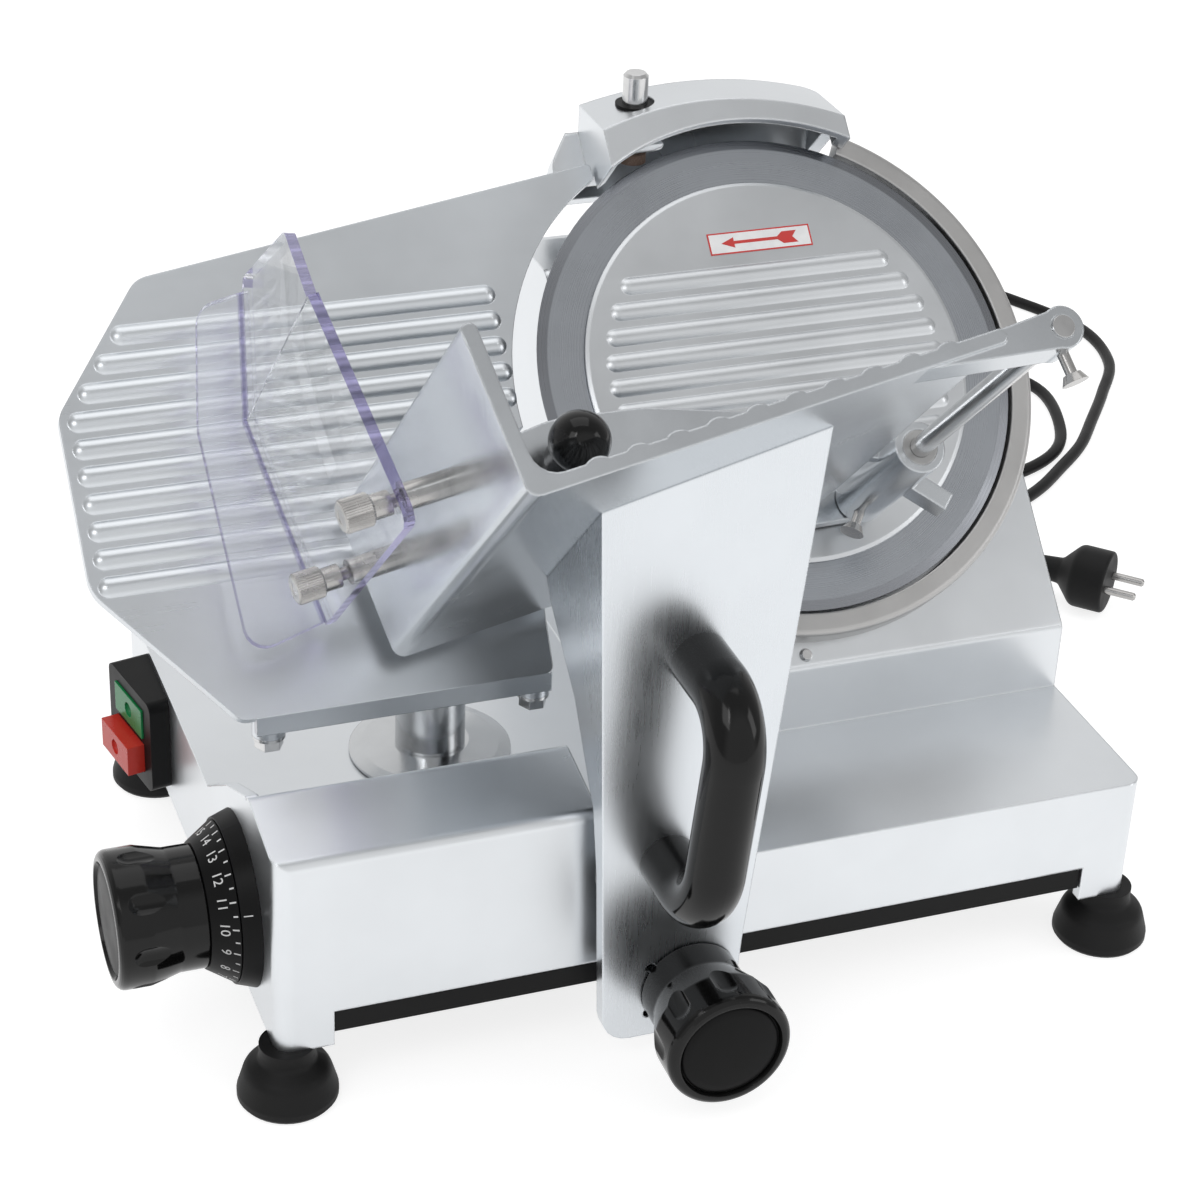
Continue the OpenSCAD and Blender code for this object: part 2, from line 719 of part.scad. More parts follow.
module plunger() {
    color("silver") translate([plunger_x, plunger_y, blade_h]) {
        translate([0, 0, shelf_z - stem_out]) cylinder(r = stem_r, h = collar_z - shelf_z + stem_out);
        translate([0, 0, collar_z]) cylinder(r = collar_r, h = collar_t - air);
        translate([0, 0, collar_z]) cylinder(r = plunger_r, h = seat_z - collar_z + plunger_up);
        translate([0, 0, seat_z + plunger_up]) cylinder(r1 = plunger_r, r2 = plunger_r - 1.5, h = 1.5);
    }
}
module plunger_spring() {
    color("gray") translate([plunger_x, plunger_y, blade_h + shelf_z])
        tube(collar_r - 0.5, stem_r + 0.6, spring_len);
}
module grinding_stone() {
    color("#8a6a58") translate([plunger_x, plunger_y, blade_h + shelf_z - stem_out - stone_t])
        cylinder(r = 7, h = stone_t);
}

// Gauge plate, its column and its slide
gauge_left = -357;
gauge_arc_r = blade_r + 10;
gauge_x1 = -138;
gauge_shoulder = 24;
gauge_proud = 2.2;
lip_x0 = -292;
lip_y = bf_y(-gauge_n, gauge_low);
lip_z = bf_z(-gauge_n, gauge_low);
bolt_x = [-284, -153];
bolt_in = 10;
bolt_z = lip_z - lip_h - 5;
bolt_r = 8;
module gauge_plate() {
    color("gainsboro") {
        blade_frame() difference() {
            union() {
                translate([0, 0, -gauge_back]) linear_extrude(gauge_t) polygon(rounded(
                    [[gauge_left, gauge_shoulder], [-309, 88], [-70, 124], [-60, 0], [gauge_x1, -10],
                    [gauge_x1 - 8, gauge_low], [-299, gauge_low], [gauge_left, -62]],
                    [14, 14, 2, 0, 0, 4, 8, 20]));
                for (i = [-5 : 4]) gauge_ridge(-7 - i * gauge_pitch);
            }
            translate([0, 0, -gauge_back - 1]) cylinder(r = gauge_arc_r, h = gauge_t + 10);
        }
        span([lip_x0, lip_y, lip_z - lip_h], [gauge_x1 - 9, lip_y + lip_t, lip_z]);
        difference() {
            for (x = bolt_x) translate([x, lip_y + bolt_in, bolt_z]) cylinder(r = bolt_r, h = 40);
            before_gauge(1);
        }
    }
}
// Space in front of the back of the gauge plate, less a depth
module before_gauge(sunk) blade_frame() translate([-500, -500, -gauge_back + sunk]) cube(1000);
module gauge_ridge(v) {
    x0 = gauge_left + 9 + max(0, (v - gauge_shoulder) * 0.75);
    x1 = v > 0 ? -gauge_arc_r - 4 : gauge_x1 - 8;
    translate([0, v, -gauge_n]) ridge(x0, x1, gauge_proud);
}
module gauge_column() {
    color("gainsboro") {
        difference() {
            translate([column_x, column_y, slab_top + 6]) cylinder(r = column_d / 2, h = 100);
            before_gauge(0);
        }
        translate([column_x, column_y, slide_z1]) cylinder(r = 8, h = slab_top + 6 - slide_z1);
    }
}
module gauge_dish() {
    color("gainsboro") translate([column_x, column_y, slab_top + air]) rotate_extrude()
        polygon([[8, 0], [dish_d / 2, 0], [dish_d / 2, 1.5], [dish_d / 2 - 6, 3.6],
            [column_d / 2 + 2, 6 - air], [8, 6 - air]]);
}
module gauge_bolts() {
    color("silver") for (x = bolt_x) translate([x, lip_y + bolt_in, bolt_z]) {
        translate([0, 0, -1.6]) cylinder(r = bolt_r, h = 1.6);
        translate([0, 0, -7]) cylinder(r = bolt_r - 1, h = 5.4, $fn = 6);
    }
}
module gauge_slide() {
    color("gray") difference() {
        union() {
            span([column_x - slide_w / 2, column_y - slide_len / 2, slide_z0],
                [column_x + slide_w / 2, column_y + slide_len / 2, slide_z1]);
            span([rack_x, column_y - 8, rack_top - 10], [column_x - slide_w / 2, column_y + 8, rack_top]);
            span([rack_x, dial_y - rack_end, rack_top - 10], [rack_x + rack_w, column_y + 8, rack_top]);
            for (i = [-5 : 7]) side(rack_x, rack_x + rack_w)
                polygon([for (p = [[-0.5, -1], [-0.5, 0], [-0.18, 1], [0.18, 1], [0.5, 0], [0.5, -1]])
                    [dial_y + i * tooth + p[0] * tooth * 0.5, rack_top + p[1] * tooth * 0.45]]);
        }
        rod_y([column_x, column_y - 60, gauge_rod_z], gauge_rod_r + fit, 120);
    }
}
rack_top = dial_z - pinion_r - tooth * 0.4;
module gauge_bar() {
    rod_y([column_x, rod_bracket_y[0] + rod_end, gauge_rod_z], gauge_rod_r,
        rod_bracket_y[1] - rod_bracket_y[0] + rod_bracket_t - 2 * rod_end);
}
module gauge_rod() {
    color("silver") gauge_bar();
}

// Dial
module dial_bezel() {
    color("#1c1c1c") dial_frame() difference() {
        cylinder(r1 = bezel_d / 2, r2 = bezel_d / 2 - 3, h = bezel_t - air);
        translate([0, 0, -1]) cylinder(r = dial_shaft_r + fit, h = bezel_t + 2);
    }
}
module dial_ring() {
    color("#242424") dial_frame() translate([0, 0, bezel_t]) difference() {
        cylinder(r1 = bezel_d / 2 - 4, r2 = bezel_d / 2 - 12, h = dial_cone);
        translate([0, 0, -1]) cylinder(r = dial_shaft_r, h = dial_cone + 2);
    }
}
module dial_grip() {
    color("#181818") dial_frame() translate([0, 0, bezel_t + dial_cone])
        fluted_grip(29, dial_d / 2, dial_grip_len, dial_flutes, dial_shaft_r);
}
// Knob that flares to its face, with closed finger scoops and a dished face
scoop_r = 9;
scoop_deep = 2;
module fluted_grip(r0, r1, h, flutes, bore) {
    difference() {
        rotate_extrude() polygon(rounded([[bore, 0], [r0, 0], [r0, h * 0.3], [r1, h * 0.62], [r1, h],
            [r1 - 5, h], [r1 - 6, h - 2.5], [bore, h - 2.5]], [0, 1, 6, 6, 4, 0, 0, 0]));
        for (i = [0 : flutes - 1]) rotate([0, 0, i * 360 / flutes])
            translate([r1 + scoop_r - scoop_deep, 0, 0]) {
                cylinder(r = scoop_r, h = h - 12);
                translate([0, 0, h - 12]) sphere(r = scoop_r);
            }
    }
}
module dial_shaft() {
    color("silver") dial_frame() {
        translate([0, 0, -wall])
            cylinder(r = dial_shaft_r, h = wall + bezel_t + dial_cone + dial_grip_len - 3);
        translate([0, 0, -wall - 16]) linear_extrude(16) pinion_outline();
    }
}
module pinion_outline() {
    polygon([for (i = [0 : pinion_teeth - 1], p = [[-0.26, -0.45], [-0.1, 0.32], [0.1, 0.32], [0.26, -0.45]])
        let (r = pinion_r + p[1] * tooth, a = 180 + (i + 0.5 + p[0]) * 360 / pinion_teeth)
        r * [cos(a), sin(a)]]);
}

// Carriage below the base
module guide_bar() {
    rod_x([-base_left + guide_end, guide_y, guide_z], guide_r, base_left + base_right - 2 * guide_end);
}
module guide_rod() {
    color("silver") guide_bar();
}
module carriage_slide() {
    color("gray") difference() {
        union() {
            span([block_x0, -base_front + wall + 0.8, 52], [block_x1, guide_y + 15, 82]);
            span([neck_x0, guide_y - 11, 24], [neck_x1, guide_y + 11, 53]);
            span([neck_x0, arm_y + arm_t, 21], [neck_x1, guide_y + 11, pan_z - 2]);
            span([neck_x0, arm_y + arm_t, 21], [-104, -base_front - 2.5, 62]);
        }
        rod_x([block_x0 - 1, guide_y, guide_z], guide_r + 3, block_x1 - block_x0 + 2);
        rod_y([knob_x, arm_y, knob_z], stud_r + fit, 40);
        for (z = slide_screw_z) rod_y([slide_screw_x, arm_y, z], 2.5, 15);
    }
}
module slide_bushes() {
    color("goldenrod") for (x = [block_x0, block_x1 - 18]) translate([x, guide_y, guide_z]) rotate([0, 90, 0])
        tube(guide_r + 3, guide_r + fit, 18);
}

// Tray
module tray() {
    color("gainsboro") tray_frame() difference() {
        union() {
            translate([0, 0, tray_back]) linear_extrude(tray_depth) tray_section();
            for (g = lugs) translate([0, 0, g[0]]) {
                linear_extrude(g[1]) polygon([[tray_len - 40, 0.2], [rod_u - 4, rod_w - lug_r + 1],
                    [rod_u, rod_w], [rod_u - 3, rod_w + lug_r - 1], [tray_len - 14, tray_t - 1]]);
                translate([rod_u, rod_w, 0]) cylinder(r = lug_r, h = g[1]);
            }
        }
        translate([rod_u, rod_w, 0]) cylinder(r = rod_r, h = 400);
        for (p = posts) translate([-1, p[1], p[0]]) rotate([0, 90, 0]) cylinder(r = guard_stud_r, h = 6);
        translate([rod_u, rod_w, screw_n]) rotate([90, 0, 0]) cylinder(r = thumb_r, h = 40);
        for (p = arm_screw_at) translate([p[0], -1, p[1]]) rotate([-90, 0, 0])
            cylinder(r = arm_screw_r, h = 6);
    }
}
module tray_section() {
    polygon(rounded([[0, 0], [tray_len, 0], [tray_len, tray_t - 0.5], [26, tray_t - 0.5],
        [tray_t, tray_t - 0.5], [tray_t, tray_wall_h], [0, tray_wall_h]], [6, 3, 3, 0, 11, 3.2, 3.2]));
    intersection() {
        for (i = [0 : floor((tray_len - 44) / flute_pitch)])
            translate([32 + i * flute_pitch, tray_t + flute_h - flute_r]) circle(r = flute_r);
        translate([0, 1]) square([tray_len, tray_t + flute_h]);
    }
}

// Arm between tray and slide
arm_screw_at = [[70, 152], [122, 150]];
arm_screw_r = 3;
arm_skin = 7;
arm_roof = 9;
arm_low = 15;
arm_waist = 66;
arm_far = 370;
handle_screw_r = 3.5;
slide_screw_x = -138;
slide_screw_z = [28, 54];
module arm_front(inset) {
    polygon(rounded([[-176 + inset, arm_far], [-160 + inset, arm_low + inset], [-95 - inset, arm_low + inset],
        [-93 - inset, 60], [-66 - inset, arm_far]], [0, 14 - inset, 14 - inset, 30, 0]));
}
module arm_side() {
    polygon([[arm_y, 10], [arm_y, arm_far], [-100, arm_far], [-100, 300], [-140, 218], [-172, 185],
        [-196, 140], [arm_y + arm_t, 108], [arm_y + arm_t, 10]]);
}
module tray_arm() {
    color("gainsboro") difference() {
        intersection() {
            front(arm_y, 0) arm_front(0);
            side(-arm_far, 0) arm_side();
        }
        difference() {
            intersection() {
                front(arm_y + arm_t, 1) arm_front(arm_skin);
                span([-arm_far, arm_y, arm_waist], [0, 1, arm_far + 30]);
            }
            tray_frame() translate([-100, -arm_roof, -100]) cube([600, 200, 700]);
        }
        tray_frame() translate([-200, 0, -200]) cube([800, 400, 800]);
        rod_y([knob_x, arm_y - 1, knob_z], stud_r + fit, 20);
        for (p = handle_at) rod_y([p[0], arm_y - 1, p[1]], handle_screw_r, 20);
        for (z = slide_screw_z) rod_y([slide_screw_x, arm_y - 1, z], 2.5, 15);
        for (p = arm_screw_at) tray_frame() translate([p[0], -20, p[1]]) rotate([-90, 0, 0])
            cylinder(r = arm_screw_r, h = 30);
    }
}
module arm_screws() {
    color("silver") {
        for (p = arm_screw_at) tray_frame() translate([p[0], -arm_roof, p[1]]) rotate([-90, 0, 0]) {
            cylinder(r = arm_screw_r, h = arm_roof + 4.5);
            translate([0, 0, -4]) cylinder(r = 5, h = 4);
        }
        for (p = handle_at) translate([p[0], arm_y, p[1]]) rotate([-90, 0, 0]) {
            translate([0, 0, -14]) cylinder(r = handle_screw_r, h = 14 + arm_t);
            translate([0, 0, arm_t]) cylinder(r = 6, h = 4, $fn = 6);
        }
    }
}
handle_at = [[-124, 219], [-133, 114]];
module handle() {
    lean = atan2(handle_at[0][0] - handle_at[1][0], handle_at[0][1] - handle_at[1][1]);
    span_z = norm(handle_at[0] - handle_at[1]);
    bend = 26;
    r = handle_d / 2;
    color("#161616") difference() {
        translate([handle_at[1][0], arm_y, handle_at[1][1]]) rotate([0, lean, 0]) {
            for (z = [0, span_z]) translate([0, -handle_reach + bend, z]) rotate([-90, 0, 0])
                cylinder(r = r, h = handle_reach - bend);
            translate([0, -handle_reach, bend]) cylinder(r = r, h = span_z - 2 * bend);
            translate([0, -handle_reach + bend, bend]) rotate([0, -90, 0]) rotate([0, 0, 180])
                rotate_extrude(angle = 90) translate([bend, 0]) circle(r = r);
            translate([0, -handle_reach + bend, span_z - bend]) rotate([0, -90, 0]) rotate([0, 0, 270])
                rotate_extrude(angle = 90) translate([bend, 0]) circle(r = r);
        }
        for (p = handle_at) rod_y([p[0], arm_y - 14, p[1]], handle_screw_r, 20);
    }
}
module lock_knob() {
    color("#161616") {
        translate([knob_x, arm_y - air, knob_z]) rotate([90, 0, 0])
            fluted_grip(24, knob_d / 2, knob_len, knob_flutes, 0);
        rod_y([knob_x, arm_y - 10, knob_z], stud_r, 10 + arm_t + 7);
    }
}

// Pusher on its rod, with two thumbscrews
thumb_r = 2.6;
thumb_end_r = 6;
thumb_end = 4;
rod_screw_len = 9;
sleeve_screw_len = 7;
sleeve_screw_n = 11;
sleeve_screw_turn = -45;
bush_r0 = rod_r + fit;
bush_out = rod_r + 3.5;
pusher_n0 = tray_back + lugs[0][1] + 1;
tail_n = 36;
tail_turn = -51;
tail_reach = 31;
module pusher_rod() {
    color("silver") tray_frame() translate([rod_u, rod_w, tray_back + 1])
        cylinder(r = rod_r, h = tray_depth - 2);
}
// Screw pointing along +Z from a seat at height 0, its flared end below
module thumbscrew(into, out) {
    translate([0, 0, -out]) cylinder(r = thumb_r, h = out + into);
    translate([0, 0, -out - thumb_end]) cylinder(r1 = thumb_end_r, r2 = thumb_r + 1.4, h = thumb_end);
}
module rod_screw() {
    color("silver") tray_frame() translate([rod_u, rod_w - lug_r, screw_n]) rotate([-90, 0, 0])
        thumbscrew(lug_r - rod_r, rod_screw_len);
}
module sleeve_screw_frame() {
    tray_frame() translate([rod_u, rod_w, pusher_n0 + sleeve_screw_n]) rotate([0, 0, sleeve_screw_turn])
        rotate([-90, 0, 0]) children();
}
module sleeve_screw() {
    color("silver") sleeve_screw_frame() translate([0, 0, -sleeve_d / 2])
        thumbscrew(sleeve_d / 2 - bush_out - air, sleeve_screw_len);
}
module pusher_bush() {
    color("goldenrod") tray_frame() translate([rod_u, rod_w, pusher_n0]) tube(bush_out, bush_r0, sleeve_len);
}
module pusher() {
    low = tray_t + flute_h + 3;
    color("gainsboro") difference() {
        tray_frame() {
            translate([rod_u, rod_w, pusher_n0]) cylinder(r = sleeve_d / 2, h = sleeve_len);
            translate([0, 0, plate_n]) linear_extrude(pusher_t) polygon(rounded([[tray_t + 5, low],
                [tray_len, low], [rod_u, rod_w], [rod_u, rod_w + 12], [tray_len - 42, 47], [tray_len - 86, 63],
                [tray_len - 130, 71], [tray_t + 5, 64]], [8, 3, 0, 0, 90, 60, 60, 12]));
            translate([rod_u, rod_w, pusher_n0 + tail_n]) rotate([0, 0, tail_turn])
                span([sleeve_d / 2 - 2, -4.5, 0], [tail_reach, 4.5, 12]);
        }
        tray_frame() translate([rod_u, rod_w, 0]) cylinder(r = bush_out + fit, h = 300);
        tray_frame() translate([ball_u, ball_w, plate_n - 1]) cylinder(r = 4, h = pusher_t + 2);
        sleeve_screw_frame() translate([0, 0, -sleeve_d]) cylinder(r = thumb_r, h = sleeve_d);
    }
}
ball_u = 90;
ball_w = 51;
module pusher_ball() {
    color("#141414") tray_frame() translate([ball_u, ball_w, plate_n]) {
        cylinder(r = 4, h = pusher_t);
        translate([0, 0, pusher_t]) cylinder(r1 = 10, r2 = 8, h = 18);
        translate([0, 0, pusher_t + 26]) sphere(r = ball_d / 2);
    }
}
module pusher_spikes() {
    color("silver") tray_frame() for (u = [40 : 28 : 180], w = [22, 38])
        translate([u, w, plate_n - 9]) cylinder(r1 = 0.6, r2 = 2.5, h = 9);
}
// Clear guard on the tray wall
module clear_guard() {
    color("lavender", 0.5) tray_frame() difference() {
        union() {
            translate([sheet_u, 0, 0]) guard_side(sheet_t)
                polygon(rounded([[7, 26], [181, 22], [171, crease_w], [7, crease_w]], [0, 8, 0, 0]));
            translate([sheet_u + 1, crease_w, 0]) rotate([0, 0, -flap_bend]) guard_side(sheet_t)
                polygon(rounded([[8, -2.7], [168, -2.7], [119, 50], [8, 72]], [0, 0, 12, 4]));
            translate([0, 0, tray_back]) linear_extrude(sheet_t) polygon(rounded([[sheet_u + 3.5, 28],
                [-65, 23], [-49, 133], [-28, 190],
                [sheet_u + 25, crease_w + 61], [sheet_u + 3.5, crease_w - 4]], [0, 10, 20, 12, 0, 0]));
        }
        for (p = posts) translate([sheet_u - 1, p[1], p[0]]) rotate([0, 90, 0])
            cylinder(r = guard_stud_r, h = sheet_t + 2);
    }
}
// Outline drawn along the blade axis and up the wall, given a thickness across
module guard_side(t) rotate([0, -90, 0]) translate([0, 0, -t]) linear_extrude(t) children();
module guard_posts() {
    color("silver") tray_frame() for (p = posts) translate([0, p[1], p[0]]) rotate([0, -90, 0]) {
        cylinder(r = post_r, h = post_len);
        translate([0, 0, -5])
            cylinder(r = guard_stud_r, h = post_len + 5 + sheet_t + nut_collar + nut_head - 4);
    }
}
module guard_nuts() {
    color("silver") tray_frame() for (p = posts) translate([sheet_u, p[1], p[0]]) rotate([0, -90, 0])
        difference() {
        union() {
            cylinder(r = nut_r - 1.5, h = nut_collar);
            translate([0, 0, nut_collar]) cylinder(r = nut_r, h = nut_head);
        }
        translate([0, 0, -1]) cylinder(r = guard_stud_r, h = nut_collar + nut_head - 3);
        for (a = [0 : 15 : 345]) rotate([0, 0, a]) translate([nut_r + 0.4, 0, nut_collar - 1])
            cylinder(r = 0.9, h = nut_head - 1, $fn = 12);
    }
}

// Cord on the table, out of the rear of the base and round to the plug
gland_at = [40, 60];
gland_len = 16;
gland_r = 8;
module cord_gland() {
    color("#1c1c1c") translate([gland_at[0], base_rear - wall - 4, gland_at[1]]) rotate([-90, 0, 0])
        difference() {
        union() {
            cylinder(r = gland_r, h = wall + 4);
            translate([0, 0, wall + 4]) cylinder(r1 = gland_r + 3, r2 = gland_r, h = gland_len);
        }
        translate([0, 0, -1]) cylinder(r = 3, h = wall + gland_len + 6);
    }
}
cord_z = cord_d / 2;
plug_z = plug_d / 2;
plug_turn = -45;
plug_len = 52;
pin_at = [-9.5, 9.5];
pin_r = 2.4;
route = [[gland_at[0], base_rear + gland_len, gland_at[1]],
    [gland_at[0], base_rear + gland_len + 14, gland_at[1]],
    [44, 164, 34], [62, 186, cord_z], [110, 214, cord_z], [200, 250, cord_z], [290, 268, cord_z],
    [342, 292, cord_z], [368, 332, cord_z], [378, 385, cord_z], [350, 424, cord_z], [290, 432, cord_z],
    [210, 424, cord_z], [140, 450, cord_z], [110, 510, cord_z], [140, 570, cord_z], [220, 604, cord_z],
    [320, 600, cord_z], [400, 560, cord_z], [436, 512, cord_z], [456, 460, cord_z], [448, 408, cord_z],
    [420, 366, cord_z], [392, 330, cord_z], [366, 298, cord_z], [337, 272, cord_z], [313, 252, cord_z],
    [290, 238, cord_z], [264, 228, cord_z], [238, 222, cord_z], [218, 208.6, cord_z], [211.3, 185, 6],
    [221.5, 163.3, 12], [232, 152.7, 18], [242.7, 142.1, plug_z]];
function above(p) = [p[0], p[1], max(p[2], cord_z)];
// Smooth curve through the route points
function bow(a, b, c, d, t) = 0.5 * (2 * b + (c - a) * t + (2 * a - 5 * b + 4 * c - d) * t * t
    + (3 * b - a - 3 * c + d) * t * t * t);
function stop(i) = i < 0 ? 2 * route[0] - route[1] : i >= len(route)
    ? 2 * route[len(route) - 1] - route[len(route) - 2] : route[i];
sub = 3;
path = concat([for (i = [0 : len(route) - 2], k = [0 : sub - 1])
        above(bow(stop(i - 1), stop(i), stop(i + 1), stop(i + 2), k / sub))],
    [route[len(route) - 1]]);
sides = 10;
function heading(i) = i == 0 ? unit(route[1] - route[0])
    : i == len(path) - 1 ? [cos(plug_turn), sin(plug_turn), 0]
    : unit(unit(path[i + 1] - path[i]) + unit(path[i] - path[i - 1]));
function ring_at(i) =
    let (d = heading(i), s = unit(cross(d, [0, 0, 1])), u = cross(s, d))
    [for (k = [0 : sides - 1]) path[i] + cord_d / 2 * (cos(k * 360 / sides) * s + sin(k * 360 / sides) * u)];
module power_cord() {
    m = len(path);
    color("#1a1a1a") polyhedron(points = [for (i = [0 : m - 1]) each ring_at(i)],
        faces = concat([[for (k = [0 : sides - 1]) k]], [[for (k = [0 : sides - 1]) m * sides - 1 - k]],
            [for (i = [0 : m - 2], k = [0 : sides - 1])
                [i * sides + k, (i + 1) * sides + k, (i + 1) * sides + (k + 1) % sides,
                    i * sides + (k + 1) % sides]]));
}
module plug_frame() translate(route[len(route) - 1]) rotate([0, 0, plug_turn]) rotate([0, 90, 0]) children();
module plug_body() {
    color("#1a1a1a") plug_frame() difference() {
        rotate_extrude() polygon(rounded([[0, 0], [cord_d / 2 + 2, 0], [cord_d / 2 + 4, 22], [plug_d / 2, 32],
            [plug_d / 2, plug_len], [0, plug_len]], [0, 1, 4, 6, 2, 0]));
        for (s = pin_at) translate([0, s, plug_len - 12]) cylinder(r = pin_r, h = 20);
    }
}
module plug_pins() {
    color("silver") plug_frame() for (s = pin_at) translate([0, s, plug_len - 12]) {
        cylinder(r = pin_r, h = 30);
        translate([0, 0, 30]) cylinder(r1 = pin_r, r2 = pin_r - 1, h = 1);
    }
}

place() base_casting();
place() bottom_pan();
place() pan_screws();
place() feet();
place() foot_screws();
place() switch_box();
place() start_button();
place() stop_button();
place() cord_gland();
place() power_cord();
place() plug_body();
place() plug_pins();
place() motor();
place() motor_mount();
place() motor_pulley();
place() drive_belt();
place() axle_bracket();
place() blade_axle();
place() axle_nut();
place() blade_hub();
place() hub_bearings();
place() blade();
place() blade_screws();
place() blade_cover();
place() guard_ring();
place() ring_screws();
place() sharpener_body();
place() plunger_bush();
place() plunger();
place() plunger_spring();
place() grinding_stone();
place() gauge_plate();
place() gauge_column();
place() gauge_dish();
place() gauge_bolts();
place() gauge_slide();
place() gauge_rod();
place() dial_bezel();
place() dial_ring();
place() dial_grip();
place() dial_shaft();
place() guide_rod();
place() carriage_slide();
place() slide_bushes();
place() tray();
place() tray_arm();
place() arm_screws();
place() handle();
place() lock_knob();
place() pusher_rod();
place() rod_screw();
place() pusher_bush();
place() pusher();
place() sleeve_screw();
place() pusher_spikes();
place() pusher_ball();
place() clear_guard();
place() guard_posts();
place() guard_nuts();
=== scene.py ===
import math

import bmesh
import bpy
from mathutils import Matrix, Vector


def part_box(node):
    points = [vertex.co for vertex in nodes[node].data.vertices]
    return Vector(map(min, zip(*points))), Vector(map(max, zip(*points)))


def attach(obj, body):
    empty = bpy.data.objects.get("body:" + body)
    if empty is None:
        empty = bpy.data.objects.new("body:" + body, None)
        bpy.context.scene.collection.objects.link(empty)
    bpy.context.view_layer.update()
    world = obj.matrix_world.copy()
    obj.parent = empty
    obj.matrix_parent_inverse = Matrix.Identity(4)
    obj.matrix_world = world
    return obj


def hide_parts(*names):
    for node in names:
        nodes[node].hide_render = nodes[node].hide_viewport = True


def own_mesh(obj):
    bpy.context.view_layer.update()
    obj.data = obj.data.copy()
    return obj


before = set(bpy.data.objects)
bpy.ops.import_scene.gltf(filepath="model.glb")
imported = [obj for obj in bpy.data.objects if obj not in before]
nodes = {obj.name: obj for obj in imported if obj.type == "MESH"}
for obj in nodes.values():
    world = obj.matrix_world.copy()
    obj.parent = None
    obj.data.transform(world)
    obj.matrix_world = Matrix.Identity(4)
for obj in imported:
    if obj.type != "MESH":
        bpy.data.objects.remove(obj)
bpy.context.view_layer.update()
scene = bpy.context.scene

# Places on the slicer, in metres: the blade axis on the table, then the frames of blade, tray and dial
AXIS = Vector((0.118, 0.07575, 0.0))
BLADE_HEIGHT = 0.245
BLADE_LEAN = math.radians(45)
TRAY_CORNER = (-0.225, -0.1185, 0)
TRAY_TURN = math.radians(10.3)
DIAL_CENTRE = Vector((-0.311, -0.128, 0.075))
QUARTER = math.pi / 2
BLADE = Matrix.Translation(AXIS + Vector((0, 0, BLADE_HEIGHT))) @ Matrix.Rotation(BLADE_LEAN, 4, "X")
TRAY = BLADE @ Matrix.Translation(TRAY_CORNER) @ Matrix.Rotation(TRAY_TURN, 4, "Z")
DIAL = Matrix.Translation(AXIS + DIAL_CENTRE) @ Matrix.Rotation(-QUARTER, 4, "Y")

# Clear guard, in the tray's frame: lean of its upper flap, height where the flap starts, place of its side
FLAP_BEND = math.radians(19)
FLAP_CREASE = 0.130
GUARD_SIDE = -0.026

# Vertices that lie closer than this are made one
MERGE = 1e-6


def millimetres(x, y, z):
    """A point given in millimetres from the blade axis and the table, in metres from the part's origin."""
    return AXIS + Vector((x, y, z)) / 1000


# Camera: its place, its angles in degrees (turn from the front, drop, roll) and its lens

CAMERA_AT = (-0.43882, -1.10998, 0.86962)
CAMERA_ANGLES = (21.488, 30.263, 2.753)
LENS = 86.35
SENSOR = 36
SEES_TO = 50


def aim_camera():
    """Set up the camera at the photograph's viewing angle."""
    yaw, drop, roll = (math.radians(a) for a in CAMERA_ANGLES)
    forward = Vector((math.sin(yaw) * math.cos(drop), math.cos(yaw) * math.cos(drop), -math.sin(drop)))
    level = Vector((math.cos(yaw), -math.sin(yaw), 0))
    rise = level.cross(forward)
    right = math.cos(roll) * level + math.sin(roll) * rise
    up = math.cos(roll) * rise - math.sin(roll) * level
    camera = bpy.data.objects.new("camera", bpy.data.cameras.new("camera"))
    camera.data.lens = LENS
    camera.data.sensor_width = SENSOR
    camera.data.clip_end = SEES_TO
    turn = Matrix((right, up, -forward)).transposed().to_4x4()
    camera.matrix_world = Matrix.Translation(CAMERA_AT) @ turn
    scene.collection.objects.link(camera)
    scene.camera = camera


aim_camera()


# Node helpers

class Nodes:
    """Short calls for building one node tree."""

    def __init__(self, tree):
        self.tree = tree

    def add(self, kind, inputs=None, **settings):
        made = self.tree.nodes.new(kind)
        for key, value in settings.items():
            setattr(made, key, value)
        for key, value in (inputs or {}).items():
            self.feed(made.inputs[key], value)
        return made

    def feed(self, socket, value):
        """Link a socket to another, or set it to a constant."""
        if isinstance(value, bpy.types.NodeSocket):
            self.tree.links.new(value, socket)
        else:
            socket.default_value = value

    def dot(self, vector, way):
        """The length of a vector along a fixed direction."""
        made = self.add("ShaderNodeVectorMath", {0: vector, 1: tuple(way)}, operation="DOT_PRODUCT")
        return made.outputs["Value"]

    def math(self, operation, a, b=0.0):
        """The value of one sum."""
        return self.add("ShaderNodeMath", {0: a, 1: b}, operation=operation).outputs[0]

    def spread(self, value, low, high, to_low, to_high):
        """A value's range moved onto another, held at its ends."""
        made = self.add("ShaderNodeMapRange", {0: value, 1: low, 2: high, 3: to_low, 4: to_high})
        return made.outputs[0]

    def blend(self, mask, first, second):
        """The first colour where the mask is 0, the second where it is 1."""
        made = self.add("ShaderNodeMix", data_type="RGBA")
        for key, value in (("Factor", mask), ("A", first), ("B", second)):
            self.feed([s for s in made.inputs if s.name == key and s.enabled][0], value)
        return [s for s in made.outputs if s.enabled][0]


def new_group(name, inputs, outputs):
    """A shader node group with its sockets, and its in and out nodes."""
    tree = bpy.data.node_groups.new(name, "ShaderNodeTree")
    for label, kind, value in inputs:
        socket = tree.interface.new_socket(label, in_out="INPUT", socket_type=kind)
        if value is not None:
            socket.default_value = value
    for label, kind in outputs:
        tree.interface.new_socket(label, in_out="OUTPUT", socket_type=kind)
    n = Nodes(tree)
    return n, n.add("NodeGroupInput"), n.add("NodeGroupOutput")


